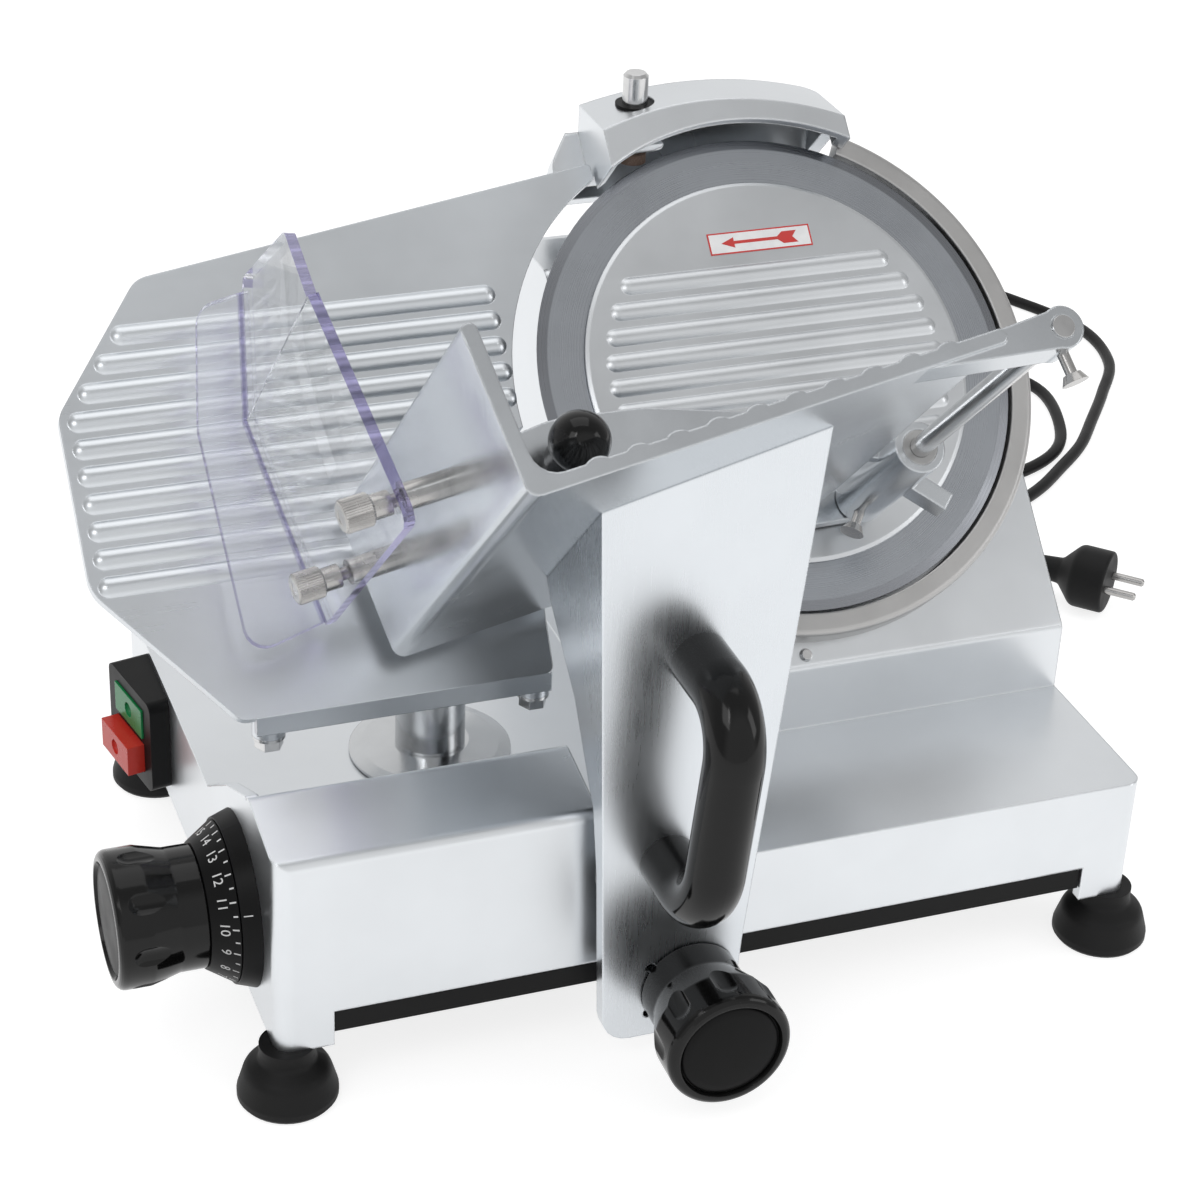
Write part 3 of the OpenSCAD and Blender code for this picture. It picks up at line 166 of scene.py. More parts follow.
FLOAT = "NodeSocketFloat"
VECTOR = "NodeSocketVector"


def make_cast_skin():
    """Fine grain of a blasted or cast face, and the broad cloudiness of handling."""
    n, given, put = new_group("cast skin", [("Grain", FLOAT, 1800.0), ("Cloud", FLOAT, 14.0)],
                              [("Grain", FLOAT), ("Cloud", FLOAT)])
    place = n.add("ShaderNodeTexCoord").outputs["Object"]
    grain = n.add("ShaderNodeTexNoise", {"Vector": place, "Scale": given.outputs["Grain"], "Detail": 2.0})
    cloud = n.add("ShaderNodeTexNoise", {"Vector": place, "Scale": given.outputs["Cloud"], "Detail": 4.0,
                                         "Roughness": 0.55})
    n.tree.links.new(grain.outputs[0], put.inputs["Grain"])
    n.tree.links.new(cloud.outputs[0], put.inputs["Cloud"])
    return n.tree


def make_brush_lines():
    """Fine straight polishing lines; the stretch sets how long they are along each axis."""
    sockets = [("Stretch", VECTOR, (1.0, 1.0, 1.0)), ("Turn", VECTOR, (0.0, 0.0, 0.0))]
    n, given, put = new_group("brush lines", sockets, [("Lines", FLOAT)])
    place = n.add("ShaderNodeTexCoord").outputs["Object"]
    turned = n.add("ShaderNodeMapping", {"Vector": place, "Rotation": given.outputs["Turn"],
                                         "Scale": given.outputs["Stretch"]})
    lines = n.add("ShaderNodeTexNoise", {"Vector": turned.outputs[0], "Scale": 1.0, "Detail": 3.0,
                                         "Roughness": 0.6})
    n.tree.links.new(lines.outputs[0], put.inputs["Lines"])
    return n.tree


def make_soft_edge():
    """Normal of a slightly rounded edge, and a mask that is 1 along it."""
    n, given, put = new_group("soft edge", [("Radius", FLOAT, 0.001)], [("Normal", VECTOR), ("Edge", FLOAT)])
    bevel = n.add("ShaderNodeBevel", {"Radius": given.outputs["Radius"]}, samples=4)
    flat = n.add("ShaderNodeNewGeometry")
    lean = n.add("ShaderNodeVectorMath", {0: bevel.outputs[0], 1: flat.outputs["True Normal"]},
                 operation="DOT_PRODUCT")
    edge = n.spread(lean.outputs["Value"], 0.99, 0.8, 0.0, 1.0)
    n.tree.links.new(bevel.outputs[0], put.inputs["Normal"])
    n.tree.links.new(edge, put.inputs["Edge"])
    return n.tree


def make_turning_rings():
    """Concentric grinding lines about the blade axis."""
    n, given, put = new_group("turning rings", [("Fineness", FLOAT, 2500.0)],
                              [("Rings", FLOAT), ("Radius", FLOAT)])
    place = n.add("ShaderNodeTexCoord").outputs["Object"]
    centre = BLADE.to_translation()
    moved = n.add("ShaderNodeVectorMath", {0: place, 1: tuple(-centre)}, operation="ADD")
    turned = n.add("ShaderNodeVectorRotate", {"Vector": moved.outputs[0], "Axis": (1.0, 0.0, 0.0),
                                              "Angle": -BLADE_LEAN}, rotation_type="AXIS_ANGLE")
    flat = n.add("ShaderNodeVectorMath", {0: turned.outputs[0], 1: (1.0, 1.0, 0.0)}, operation="MULTIPLY")
    radius = n.add("ShaderNodeVectorMath", {0: flat.outputs[0]}, operation="LENGTH").outputs["Value"]
    finer = n.math("MULTIPLY", radius, given.outputs["Fineness"])
    rings = n.add("ShaderNodeTexNoise", {"W": finer, "Scale": 1.0, "Detail": 3.0}, noise_dimensions="1D")
    n.tree.links.new(rings.outputs[0], put.inputs["Rings"])
    n.tree.links.new(radius, put.inputs["Radius"])
    return n.tree


# Cut edges: how square to a sheet a face is before it counts as cut, half the fold line's width (full and faded
# out) and the height where the fold ends (full and faded out)
SHEET_LEAN = 0.99995
CUT_LEAN = 0.9998
FOLD_HALF = (0.0009, 0.0016)
FOLD_TOP = (0.0116, 0.0124)


def make_cut_edges():
    """Masks of the clear guard: its cut edges, and the fold between its side and its front sheet."""
    n, _, put = new_group("cut edges", [], [("Cut", FLOAT), ("Fold", FLOAT)])
    facing = n.add("ShaderNodeNewGeometry").outputs["True Normal"]
    turn = TRAY.to_3x3()
    flattest = 0.0
    for face in ((1, 0, 0), (math.cos(FLAP_BEND), -math.sin(FLAP_BEND), 0), (0, 0, 1)):
        lean = n.dot(facing, turn @ Vector(face))
        flattest = n.math("MAXIMUM", flattest, n.math("ABSOLUTE", lean))
    n.tree.links.new(n.spread(flattest, SHEET_LEAN, CUT_LEAN, 0.0, 1.0), put.inputs["Cut"])
    place = n.add("ShaderNodeTexCoord").outputs["Object"]
    moved = n.add("ShaderNodeVectorMath", {0: place, 1: tuple(-TRAY.to_translation())}, operation="ADD")
    across, up, along = (n.dot(moved.outputs[0], way) for way in turn.transposed())
    above = n.math("MAXIMUM", n.math("SUBTRACT", up, FLAP_CREASE), 0.0)
    line = n.math("ADD", n.math("MULTIPLY", above, math.tan(FLAP_BEND)), GUARD_SIDE)
    near = n.spread(n.math("ABSOLUTE", n.math("SUBTRACT", across, line)), *FOLD_HALF, 1.0, 0.0)
    low = n.spread(along, *FOLD_TOP, 1.0, 0.0)
    n.tree.links.new(n.math("MULTIPLY", near, low), put.inputs["Fold"])
    return n.tree


CAST_SKIN = make_cast_skin()
BRUSH_LINES = make_brush_lines()
SOFT_EDGE = make_soft_edge()
TURNING_RINGS = make_turning_rings()
CUT_EDGES = make_cut_edges()


def new_material(name):
    """An empty material with its surface shader."""
    made = bpy.data.materials.new(name)
    made.use_nodes = True
    made.node_tree.nodes.clear()
    n = Nodes(made.node_tree)
    shader = n.add("ShaderNodeBsdfPrincipled")
    n.add("ShaderNodeOutputMaterial", {"Surface": shader.outputs[0]})
    return made, n, shader


def group_node(n, tree, inputs):
    """Place a group in a material with its own values."""
    made = n.tree.nodes.new("ShaderNodeGroup")
    made.node_tree = tree
    for key, value in inputs.items():
        made.inputs[key.capitalize()].default_value = value
    return made


def grey(value, blue=0.0):
    """A grey that leans to blue, or to red below 0."""
    return (value * (1 - blue), value, value * (1 + blue), 1.0)


def metal(name, pale, dark, polish, dull, grain=1800.0, cloud=14.0, bump=0.00002, edge=0.0008, stretch=None,
          turn=(0, 0, 0), blue=0.0):
    """A bare metal: clouded between two greys, polished along its edges, with grain or brush lines."""
    made, n, shader = new_material(name)
    skin = group_node(n, CAST_SKIN, {"grain": grain, "cloud": cloud})
    soft = group_node(n, SOFT_EDGE, {"radius": edge})
    clouded = n.spread(skin.outputs["Cloud"], 0.3, 0.7, 0.0, 1.0)
    height = skin.outputs["Grain"]
    rough = n.spread(clouded, 0.0, 1.0, polish, dull)
    if stretch:
        brush = group_node(n, BRUSH_LINES, {"stretch": stretch, "turn": turn})
        height = n.math("ADD", n.math("MULTIPLY", skin.outputs["Grain"], 0.4), brush.outputs["Lines"])
        rough = n.math("ADD", rough, n.spread(brush.outputs["Lines"], 0.3, 0.7, -0.02, 0.02))
    colour = n.blend(clouded, grey(dark, blue), grey(pale, blue))
    rubbed = grey(min(0.95, pale * 1.12), blue)
    colour = n.blend(n.math("MULTIPLY", soft.outputs["Edge"], 0.6), colour, rubbed)
    rough = n.math("SUBTRACT", rough, n.math("MULTIPLY", soft.outputs["Edge"], 0.12))
    raised = n.add("ShaderNodeBump", {"Height": height, "Normal": soft.outputs["Normal"], "Distance": bump,
                                      "Strength": 0.6})
    shader.inputs["Metallic"].default_value = 1.0
    n.tree.links.new(colour, shader.inputs["Base Color"])
    n.tree.links.new(rough, shader.inputs["Roughness"])
    n.tree.links.new(raised.outputs[0], shader.inputs["Normal"])
    return made


def plastic(name, colour, worn, gloss, dull, grain=900.0, cloud=30.0, bump=0.00001, edge=0.0006, shine=0.3):
    """A moulded plastic or rubber: fine surface grain, cloudy handling marks and paler edges."""
    made, n, shader = new_material(name)
    skin = group_node(n, CAST_SKIN, {"grain": grain, "cloud": cloud})
    soft = group_node(n, SOFT_EDGE, {"radius": edge})
    clouded = n.spread(skin.outputs["Cloud"], 0.35, 0.65, 0.0, 1.0)
    tone = n.blend(n.math("MULTIPLY", clouded, 0.5), colour, worn)
    tone = n.blend(n.math("MULTIPLY", soft.outputs["Edge"], 0.5), tone, worn)
    raised = n.add("ShaderNodeBump", {"Height": skin.outputs["Grain"], "Normal": soft.outputs["Normal"],
                                      "Distance": bump, "Strength": 0.5})
    n.tree.links.new(tone, shader.inputs["Base Color"])
    n.tree.links.new(n.spread(clouded, 0.0, 1.0, gloss, dull), shader.inputs["Roughness"])
    n.tree.links.new(raised.outputs[0], shader.inputs["Normal"])
    shader.inputs["Specular IOR Level"].default_value = shine
    return made


# The ground bevel of the blade starts between these two radii; beyond them the steel is painted darker, a
# painted shade along the blade's rim
BLADE_SHADED_BEVEL = (0.1195, 0.1202)


def ground_blade():
    """Blade steel with concentric grinding lines, darker and bluer than the castings, with a painted shade on
    its ground bevel.
    """
    made, n, shader = new_material("ground blade steel")
    rings = group_node(n, TURNING_RINGS, {"fineness": 2600.0})
    skin = group_node(n, CAST_SKIN, {"grain": 900.0, "cloud": 22.0})
    soft = group_node(n, SOFT_EDGE, {"radius": 0.0005})
    lines = n.spread(rings.outputs["Rings"], 0.3, 0.7, 0.0, 1.0)
    tone = n.blend(lines, (0.36, 0.38, 0.41, 1), (0.41, 0.43, 0.46, 1))
    # Painted shade: the bevel's colour is darkened to stand for the dark reflection and shade along the rim
    bevel = n.spread(rings.outputs["Radius"], *BLADE_SHADED_BEVEL, 0.0, 1.0)
    tone = n.blend(bevel, tone, (0.24, 0.25, 0.27, 1))
    rough = n.math("ADD", n.spread(lines, 0.0, 1.0, 0.24, 0.34),
                   n.spread(skin.outputs["Cloud"], 0.3, 0.7, -0.04, 0.06))
    raised = n.add("ShaderNodeBump", {"Height": rings.outputs["Rings"], "Normal": soft.outputs["Normal"],
                                      "Distance": 0.00002, "Strength": 0.5})
    shader.inputs["Metallic"].default_value = 1.0
    n.tree.links.new(tone, shader.inputs["Base Color"])
    n.tree.links.new(rough, shader.inputs["Roughness"])
    n.tree.links.new(raised.outputs[0], shader.inputs["Normal"])
    return made


def clear_acrylic():
    """Clear guard sheet with a violet tint that gathers along its cut edges."""
    made, n, shader = new_material("clear acrylic")
    skin = group_node(n, CAST_SKIN, {"grain": 300.0, "cloud": 18.0})
    soft = group_node(n, SOFT_EDGE, {"radius": 0.0012})
    cut = group_node(n, CUT_EDGES, {})
    rim = n.math("MAXIMUM", cut.outputs["Cut"], n.math("MULTIPLY", soft.outputs["Edge"], 0.7))
    rim = n.math("MAXIMUM", rim, n.math("MULTIPLY", cut.outputs["Fold"], 0.8))
    tone = n.blend(rim, (0.88, 0.88, 0.95, 1), (0.20, 0.165, 0.43, 1))
    n.tree.links.new(tone, shader.inputs["Base Color"])
    n.tree.links.new(n.spread(skin.outputs["Cloud"], 0.3, 0.7, 0.02, 0.05), shader.inputs["Roughness"])
    n.tree.links.new(n.spread(rim, 0.0, 1.0, 0.24, 0.97), shader.inputs["Alpha"])
    shader.inputs["Transmission Weight"].default_value = 1.0
    shader.inputs["IOR"].default_value = 1.49
    return made


def grinding_grit():
    """Coarse brown grains of a small grinding stone."""
    made, n, shader = new_material("grinding grit")
    skin = group_node(n, CAST_SKIN, {"grain": 2400.0, "cloud": 60.0})
    place = n.add("ShaderNodeTexCoord").outputs["Object"]
    grains = n.add("ShaderNodeTexVoronoi", {"Vector": place, "Scale": 1500.0})
    tone = n.blend(grains.outputs["Distance"], (0.20, 0.13, 0.10, 1), (0.42, 0.30, 0.24, 1))
    raised = n.add("ShaderNodeBump", {"Height": skin.outputs["Grain"], "Distance": 0.0001, "Strength": 0.8})
    n.tree.links.new(tone, shader.inputs["Base Color"])
    n.tree.links.new(raised.outputs[0], shader.inputs["Normal"])
    shader.inputs["Roughness"].default_value = 0.9
    return made


def printed(name, colour, faded):
    """Screen print or a painted sheet: slightly uneven ink."""
    made, n, shader = new_material(name)
    skin = group_node(n, CAST_SKIN, {"grain": 1500.0, "cloud": 120.0})
    tone = n.blend(n.spread(skin.outputs["Cloud"], 0.35, 0.65, 0.0, 1.0), colour, faded)
    n.tree.links.new(tone, shader.inputs["Base Color"])
    n.tree.links.new(n.spread(skin.outputs["Grain"], 0.3, 0.7, 0.35, 0.5), shader.inputs["Roughness"])
    return made


# Finishes: pale and dark tone, then roughness where polished and where dull
ALONG_X = (12.0, 1400.0, 1400.0)
ALONG_Z = (900.0, 900.0, 40.0)
SLANT = (-BLADE_LEAN, 0.0, 0.0)
cast_aluminium = metal("cast aluminium", 0.78, 0.70, 0.27, 0.36, grain=1400, cloud=9, bump=0.00002,
                       edge=0.0016, blue=0.03)
satin_aluminium = metal("satin aluminium", 0.72, 0.65, 0.27, 0.35, grain=2200, cloud=10, stretch=ALONG_X,
                        turn=SLANT, blue=0.04)
polished_aluminium = metal("polished aluminium", 0.68, 0.60, 0.18, 0.27, grain=1600, cloud=16, bump=0.00001,
                           edge=0.0014, stretch=ALONG_Z, blue=0.04)
blasted_aluminium = metal("blasted aluminium", 0.52, 0.44, 0.36, 0.46, grain=1600, cloud=20, bump=0.00004,
                          blue=-0.01)
turned_aluminium = metal("turned aluminium", 0.60, 0.52, 0.16, 0.24, grain=1600, cloud=30, bump=0.00001,
                         blue=0.02)
arm_aluminium = metal("linished aluminium", 0.77, 0.70, 0.25, 0.33, grain=1600, cloud=12, bump=0.000005,
                      edge=0.0014, stretch=ALONG_Z, blue=0.04)
pressed_cover = metal("pressed cover", 0.70, 0.62, 0.30, 0.38, grain=2200, cloud=12, stretch=ALONG_X,
                      turn=SLANT, blue=0.03)
bright_steel = metal("bright steel", 0.66, 0.55, 0.14, 0.24, grain=1200, cloud=60, bump=0.00001, edge=0.0004)
nickel = metal("nickel plate", 0.48, 0.37, 0.2, 0.3, grain=1200, cloud=80, bump=0.00001, edge=0.0003,
               blue=-0.02)
zinc_steel = metal("zinc plated steel", 0.5, 0.38, 0.34, 0.46, grain=900, cloud=40)
rough_casting = metal("rough casting", 0.42, 0.32, 0.5, 0.62, grain=700, cloud=25, bump=0.0001)
bronze = metal("sintered bronze", 0.5, 0.4, 0.35, 0.5, grain=2500, cloud=60, bump=0.00004)
blade_steel = ground_blade()
gloss_black = plastic("gloss black plastic", (0.004, 0.004, 0.004, 1), (0.008, 0.008, 0.008, 1), 0.08, 0.14,
                      grain=160, bump=0.00002, shine=0.28)
satin_black = plastic("satin black plastic", (0.005, 0.005, 0.005, 1), (0.010, 0.010, 0.011, 1), 0.34, 0.46,
                      grain=2200, bump=0.00002, shine=0.12)
black_paint = plastic("black paint", (0.008, 0.008, 0.008, 1), (0.014, 0.014, 0.015, 1), 0.4, 0.55,
                      grain=1500, shine=0.15)
black_rubber = plastic("black rubber", (0.008, 0.008, 0.008, 1), (0.018, 0.018, 0.019, 1), 0.46, 0.62,
                       grain=1600, bump=0.00006, shine=0.2)
cord_sheath = plastic("cord sheath", (0.008, 0.008, 0.008, 1), (0.014, 0.014, 0.015, 1), 0.38, 0.5,
                      grain=1200, shine=0.2)
green_plastic = plastic("green button", (0.010, 0.22, 0.065, 1), (0.03, 0.32, 0.12, 1), 0.22, 0.32)
red_plastic = plastic("red button", (0.62, 0.025, 0.014, 1), (0.70, 0.07, 0.05, 1), 0.22, 0.32)
white_print = printed("white print", (0.80, 0.80, 0.80, 1), (0.66, 0.66, 0.66, 1))
sign_white = printed("white sheet", (0.86, 0.86, 0.86, 1), (0.78, 0.78, 0.79, 1))
sign_red = printed("red print", (0.62, 0.035, 0.03, 1), (0.56, 0.05, 0.045, 1))
clear_sheet = clear_acrylic()
grit = grinding_grit()

FINISHES = {
    cast_aluminium: ["base_casting", "sharpener_body"],
    satin_aluminium: ["gauge_plate"],
    polished_aluminium: ["tray", "pusher"],
    arm_aluminium: ["tray_arm"],
    turned_aluminium: ["gauge_column", "gauge_dish"],
    blasted_aluminium: ["guard_ring"],
    pressed_cover: ["blade_cover"],
    blade_steel: ["blade"],
    bright_steel: ["pan_screws", "foot_screws", "blade_axle", "axle_nut", "hub_bearings", "blade_screws",
                   "ring_screws", "plunger", "gauge_bolts", "gauge_rod", "dial_shaft", "guide_rod",
                   "arm_screws", "pusher_rod", "pusher_spikes", "plunger_spring"],
    nickel: ["rod_screw", "sleeve_screw", "guard_posts", "guard_nuts", "plug_pins"],
    zinc_steel: ["motor_mount", "axle_bracket", "motor_pulley", "blade_hub"],
    rough_casting: ["gauge_slide", "carriage_slide", "motor"],
    bronze: ["slide_bushes", "pusher_bush"],
    gloss_black: ["handle", "lock_knob", "dial_grip", "pusher_ball"],
    satin_black: ["switch_box", "dial_bezel", "dial_ring", "cord_gland", "plunger_bush"],
    black_paint: ["bottom_pan"],
    black_rubber: ["feet", "plug_body", "drive_belt"],
    cord_sheath: ["power_cord"],
    green_plastic: ["start_button"],
    red_plastic: ["stop_button"],
    clear_sheet: ["clear_guard"],
    grit: ["grinding_stone"],
}


def dress_nodes():
    """Give each node of the part its finish."""
    for finish, names in FINISHES.items():
        for name in names:
            nodes[name].data.materials.clear()
            nodes[name].data.materials.append(finish)


dress_nodes()


# Pieces made here

def finish_piece(name, shape, finishes, body):
    """Make a shape a piece of the part, on a body and with the given finishes."""
    mesh = bpy.data.meshes.new(name)
    shape.to_mesh(mesh)
    shape.free()
    for finish in finishes:
        mesh.materials.append(finish)
    made = bpy.data.objects.new(name, mesh)
    scene.collection.objects.link(made)
    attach(made, body)
    return made


def turned(shape, profile, steps):
    """Turn a profile of (radius, height) about the z axis into a closed piece; gives back its vertices."""
    before = set(shape.verts)
    verts = [shape.verts.new((x, 0, z)) for x, z in profile]
    edges = [shape.edges.new(pair) for pair in zip(verts, verts[1:])]
    bmesh.ops.spin(shape, geom=verts + edges, cent=(0, 0, 0), axis=(0, 0, 1), angle=2 * math.pi, steps=steps,
                   use_merge=True)
    made = [vert for vert in shape.verts if vert not in before]
    bmesh.ops.remove_doubles(shape, verts=made, dist=MERGE)
    return [vert for vert in shape.verts if vert not in before]


def smooth(shape):
    """Shade all faces as one curved surface."""
    for face in shape.faces:
        face.smooth = True


def raise_faces(shape, faces, height):
    """Pull flat faces up into a solid."""
    made = bmesh.ops.extrude_face_region(shape, geom=faces)
    top = [v for v in made["geom"] if isinstance(v, bmesh.types.BMVert)]
    bmesh.ops.translate(shape, vec=(0, 0, height), verts=top)


# Cord: the same points as the part's own route, in millimetres from the blade axis and the table
CORD_R = 0.004
CORD_ROUTE = [
    (40, 134, 60), (40, 148, 60), (44, 164, 34), (62, 186, 4), (110, 214, 4), (200, 250, 4), (290, 268, 4),
    (342, 292, 4), (368, 332, 4), (378, 385, 4), (350, 424, 4), (290, 432, 4), (210, 424, 4), (140, 450, 4),
    (110, 510, 4), (140, 570, 4), (220, 604, 4), (320, 600, 4), (400, 560, 4), (436, 512, 4), (456, 460, 4),
    (448, 408, 4), (420, 366, 4), (392, 330, 4), (366, 298, 4), (337, 272, 4), (313, 252, 4), (290, 238, 4),
    (264, 228, 4), (238, 222, 4), (218, 208.6, 4), (211.3, 185, 6), (221.5, 163.3, 12), (232, 152.7, 18),
    (242.7, 142.1, 19)]
CORD_STEPS = 8


def cord_line():
    """Points on the smooth curve through the route, never below its rest on the table."""
    at = [millimetres(*p) for p in CORD_ROUTE]
    at = [2 * at[0] - at[1]] + at + [2 * at[-1] - at[-2]]
    line = []
    for a, b, c, d in zip(at, at[1:], at[2:], at[3:]):
        for k in range(CORD_STEPS):
            t = k / CORD_STEPS
            p = 0.5 * (2 * b + (c - a) * t + (2 * a - 5 * b + 4 * c - d) * t * t
                       + (3 * b - a - 3 * c + d) * t ** 3)
            line.append(Vector((p.x, p.y, max(p.z, CORD_R))))
    return line + [at[-2]]


def lay_cord():
    """The smooth round cord, which stands for the part's own."""
    line = cord_line()
    curve = bpy.data.curves.new("mains_cord", "CURVE")
    curve.dimensions = "3D"
    curve.bevel_depth = CORD_R
    curve.bevel_resolution = 4
    curve.use_fill_caps = True
    run = curve.splines.new("POLY")
    run.points.add(len(line) - 1)
    for point, place in zip(run.points, line):
        point.co = (*place, 1)
    curve.materials.append(cord_sheath)
    made = bpy.data.objects.new("mains_cord", curve)
    scene.collection.objects.link(made)
    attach(made, "base")
    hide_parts("power_cord")


lay_cord()


# Dial scale, printed on the cone of the graduated ring

BEZEL_T = 0.009
CONE_H = 0.012
CONE_R0 = 0.038
CONE_R1 = 0.030
CONE_SLANT = math.hypot(CONE_H, CONE_R0 - CONE_R1)
READING = 10.5
READING_AT = math.radians(24)
UNIT_TURN = math.radians(20)
PRINT_LIFT = 0.00006
LAST_NUMBER = 15
NUMBER_SIZE = 0.0068
NUMBER_FROM_EDGE = 0.0078
LINE_FROM_EDGE = 0.0008
LINE_W = 0.00075
LINE_LONG = 0.0032
LINE_SHORT = 0.0022


def on_dial(h, r, turn):
    """Place about the dial's axis: distance out from the base, radius, angle up from the front."""
    return DIAL.to_translation() + Vector((-h, -r * math.cos(turn), r * math.sin(turn)))


def on_cone(slant, turn, lift):
    """Place on the ring's cone: distance from its wide end, angle up from the front, height above it."""
    along = slant / CONE_SLANT
    r = CONE_R0 + (CONE_R1 - CONE_R0) * along + lift * CONE_H / CONE_SLANT
    h = BEZEL_T + CONE_H * along + lift * (CONE_R0 - CONE_R1) / CONE_SLANT
    return on_dial(h, r, turn)


def scale_turn(number):
    """Angle of a number of the scale, with the reading at the bezel's mark."""
    return READING_AT + (number - READING) * UNIT_TURN


def number_shape(text):
    """A thin flat mesh of a number, centred on the origin."""
    font = bpy.data.curves.new("number", "FONT")
    font.body = text
    font.size = NUMBER_SIZE
    font.align_x = "CENTER"
    font.align_y = "CENTER"
    font.extrude = PRINT_LIFT
    font.resolution_u = 3
    made = bpy.data.objects.new("number", font)
    scene.collection.objects.link(made)
    final = made.evaluated_get(bpy.context.evaluated_depsgraph_get())
    mesh = bpy.data.meshes.new_from_object(final)
    bpy.data.objects.remove(made)
    return mesh


def print_scale():
    """Numbers with a line at each and a shorter line at each half, laid round the cone."""
    shape = bmesh.new()
    for number in range(LAST_NUMBER + 1):
        before = len(shape.verts)
        mesh = number_shape(str(number))
        shape.from_mesh(mesh)
        bpy.data.meshes.remove(mesh)
        shape.verts.ensure_lookup_table()
        for vert in shape.verts[before:]:
            x, y, z = vert.co
            slant = NUMBER_FROM_EDGE - y
            r = CONE_R0 + (CONE_R1 - CONE_R0) * slant / CONE_SLANT
            vert.co = on_cone(slant, scale_turn(number) - x / r, z)
    for half in range(2 * LAST_NUMBER + 1):
        made = bmesh.ops.create_cube(shape, size=1.0)
        length = LINE_SHORT if half % 2 else LINE_LONG
        for vert in made["verts"]:
            x, y, z = vert.co
            slant = LINE_FROM_EDGE + (x + 0.5) * length
            vert.co = on_cone(slant, scale_turn(half / 2) + y * LINE_W / CONE_R0, z * 2 * PRINT_LIFT)
    bmesh.ops.remove_doubles(shape, verts=shape.verts, dist=MERGE)
    bmesh.ops.recalc_face_normals(shape, faces=shape.faces)
    finish_piece("dial_scale", shape, [white_print], "dial")


print_scale()

# Index line: its middle, length and width on the bezel, which narrows from the base to its face
BEZEL_R = 0.042
BEZEL_NARROWS = 0.003
MARK_AT = 0.0055
MARK_LEN = 0.004
MARK_W = 0.0005


def mark_bezel():
    """Fine index line on the fixed bezel, in line with the reading."""
    shape = bmesh.new()
    made = bmesh.ops.create_cube(shape, size=1.0)
    for vert in made["verts"]:
        x, y, z = vert.co
        h = MARK_AT + x * MARK_LEN
        r = BEZEL_R - BEZEL_NARROWS * h / BEZEL_T + z * 2 * PRINT_LIFT
        vert.co = on_dial(h, r, READING_AT + y * MARK_W / r)
    bmesh.ops.recalc_face_normals(shape, faces=shape.faces)
    finish_piece("bezel_mark", shape, [white_print], "base")


mark_bezel()


# Knob caps: shallow domed discs set in the faces of dial grip and lock knob

CAP_CURVE = [(0.0, 1.0), (0.45, 0.94), (0.8, 0.78), (0.95, 0.6), (1.0, 0.3), (1.0, 0.0), (0.0, 0.0)]
CAP_STEPS = 64
CAP_H = 0.0022
CAP_SUNK = 0.0025
DIAL_CAP_R = 0.0262
KNOB_CAP_R = 0.0237
GRIP_LEN = 0.042
KNOB_LEN = 52
KNOB_FACE = millimetres(-118, -208.4 - KNOB_LEN, 40)


def domed_cap(name, place, radius, body):
    shape = bmesh.new()
    turned(shape, [(radius * r, CAP_H * h) for r, h in CAP_CURVE], CAP_STEPS)
    bmesh.ops.recalc_face_normals(shape, faces=shape.faces)
    bmesh.ops.transform(shape, matrix=place, verts=shape.verts)
    smooth(shape)
    finish_piece(name, shape, [satin_black], body)


domed_cap("dial_cap", DIAL @ Matrix.Translation((0, 0, BEZEL_T + CONE_H + GRIP_LEN - CAP_SUNK)), DIAL_CAP_R,
          "dial")
domed_cap("knob_cap", Matrix.Translation(KNOB_FACE + Vector((0, CAP_SUNK, 0)))
          @ Matrix.Rotation(QUARTER, 4, "X"), KNOB_CAP_R, "lock")


# Knurled nuts of the clear guard

NUT_AT = [(GUARD_SIDE, 0.036, 0.168), (GUARD_SIDE, 0.036, 0.058)]
NUT_R = 0.0074
NUT_PROFILE = [(0.0, 0.0), (0.0056, 0.0), (0.0056, 0.0080), (0.0068, 0.0086), (NUT_R, 0.0092),
               (NUT_R, 0.0206), (0.0068, 0.0213), (0.0060, 0.0217), (0.0034, 0.0217), (0.0030, 0.0214),
               (0.0, 0.0214)]
KNURLS = 36
KNURL_DEEP = 0.00045


def knurled_nut(shape, place):
    """A turned nut whose widest band is cut back at every other step of the turning."""
    made = turned(shape, NUT_PROFILE, 2 * KNURLS)
    for vert in made:
        r = math.hypot(vert.co.x, vert.co.y)
        step = round(math.atan2(vert.co.y, vert.co.x) * KNURLS / math.pi)
        if step % 2 and r > NUT_R - KNURL_DEEP / 2:
            vert.co.xy *= (NUT_R - KNURL_DEEP) / r
    bmesh.ops.transform(shape, matrix=place, verts=made)


def guard_nuts():
    shape = bmesh.new()
    for spot in NUT_AT:
        knurled_nut(shape, TRAY @ Matrix.Translation(spot) @ Matrix.Rotation(-QUARTER, 4, "Y"))
    bmesh.ops.recalc_face_normals(shape, faces=shape.faces)
    made = finish_piece("knurled_nuts", shape, [nickel], "carriage")
    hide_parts("guard_nuts")


guard_nuts()


# Coil spring under the plunger's collar, wound in the room of the part's plain sleeve

WIRE_R = 0.00055
WIRE_SIDES = 8
SPRING_TURNS = 4
TURN_STEPS = 24
SPRING_AIR = 0.0001


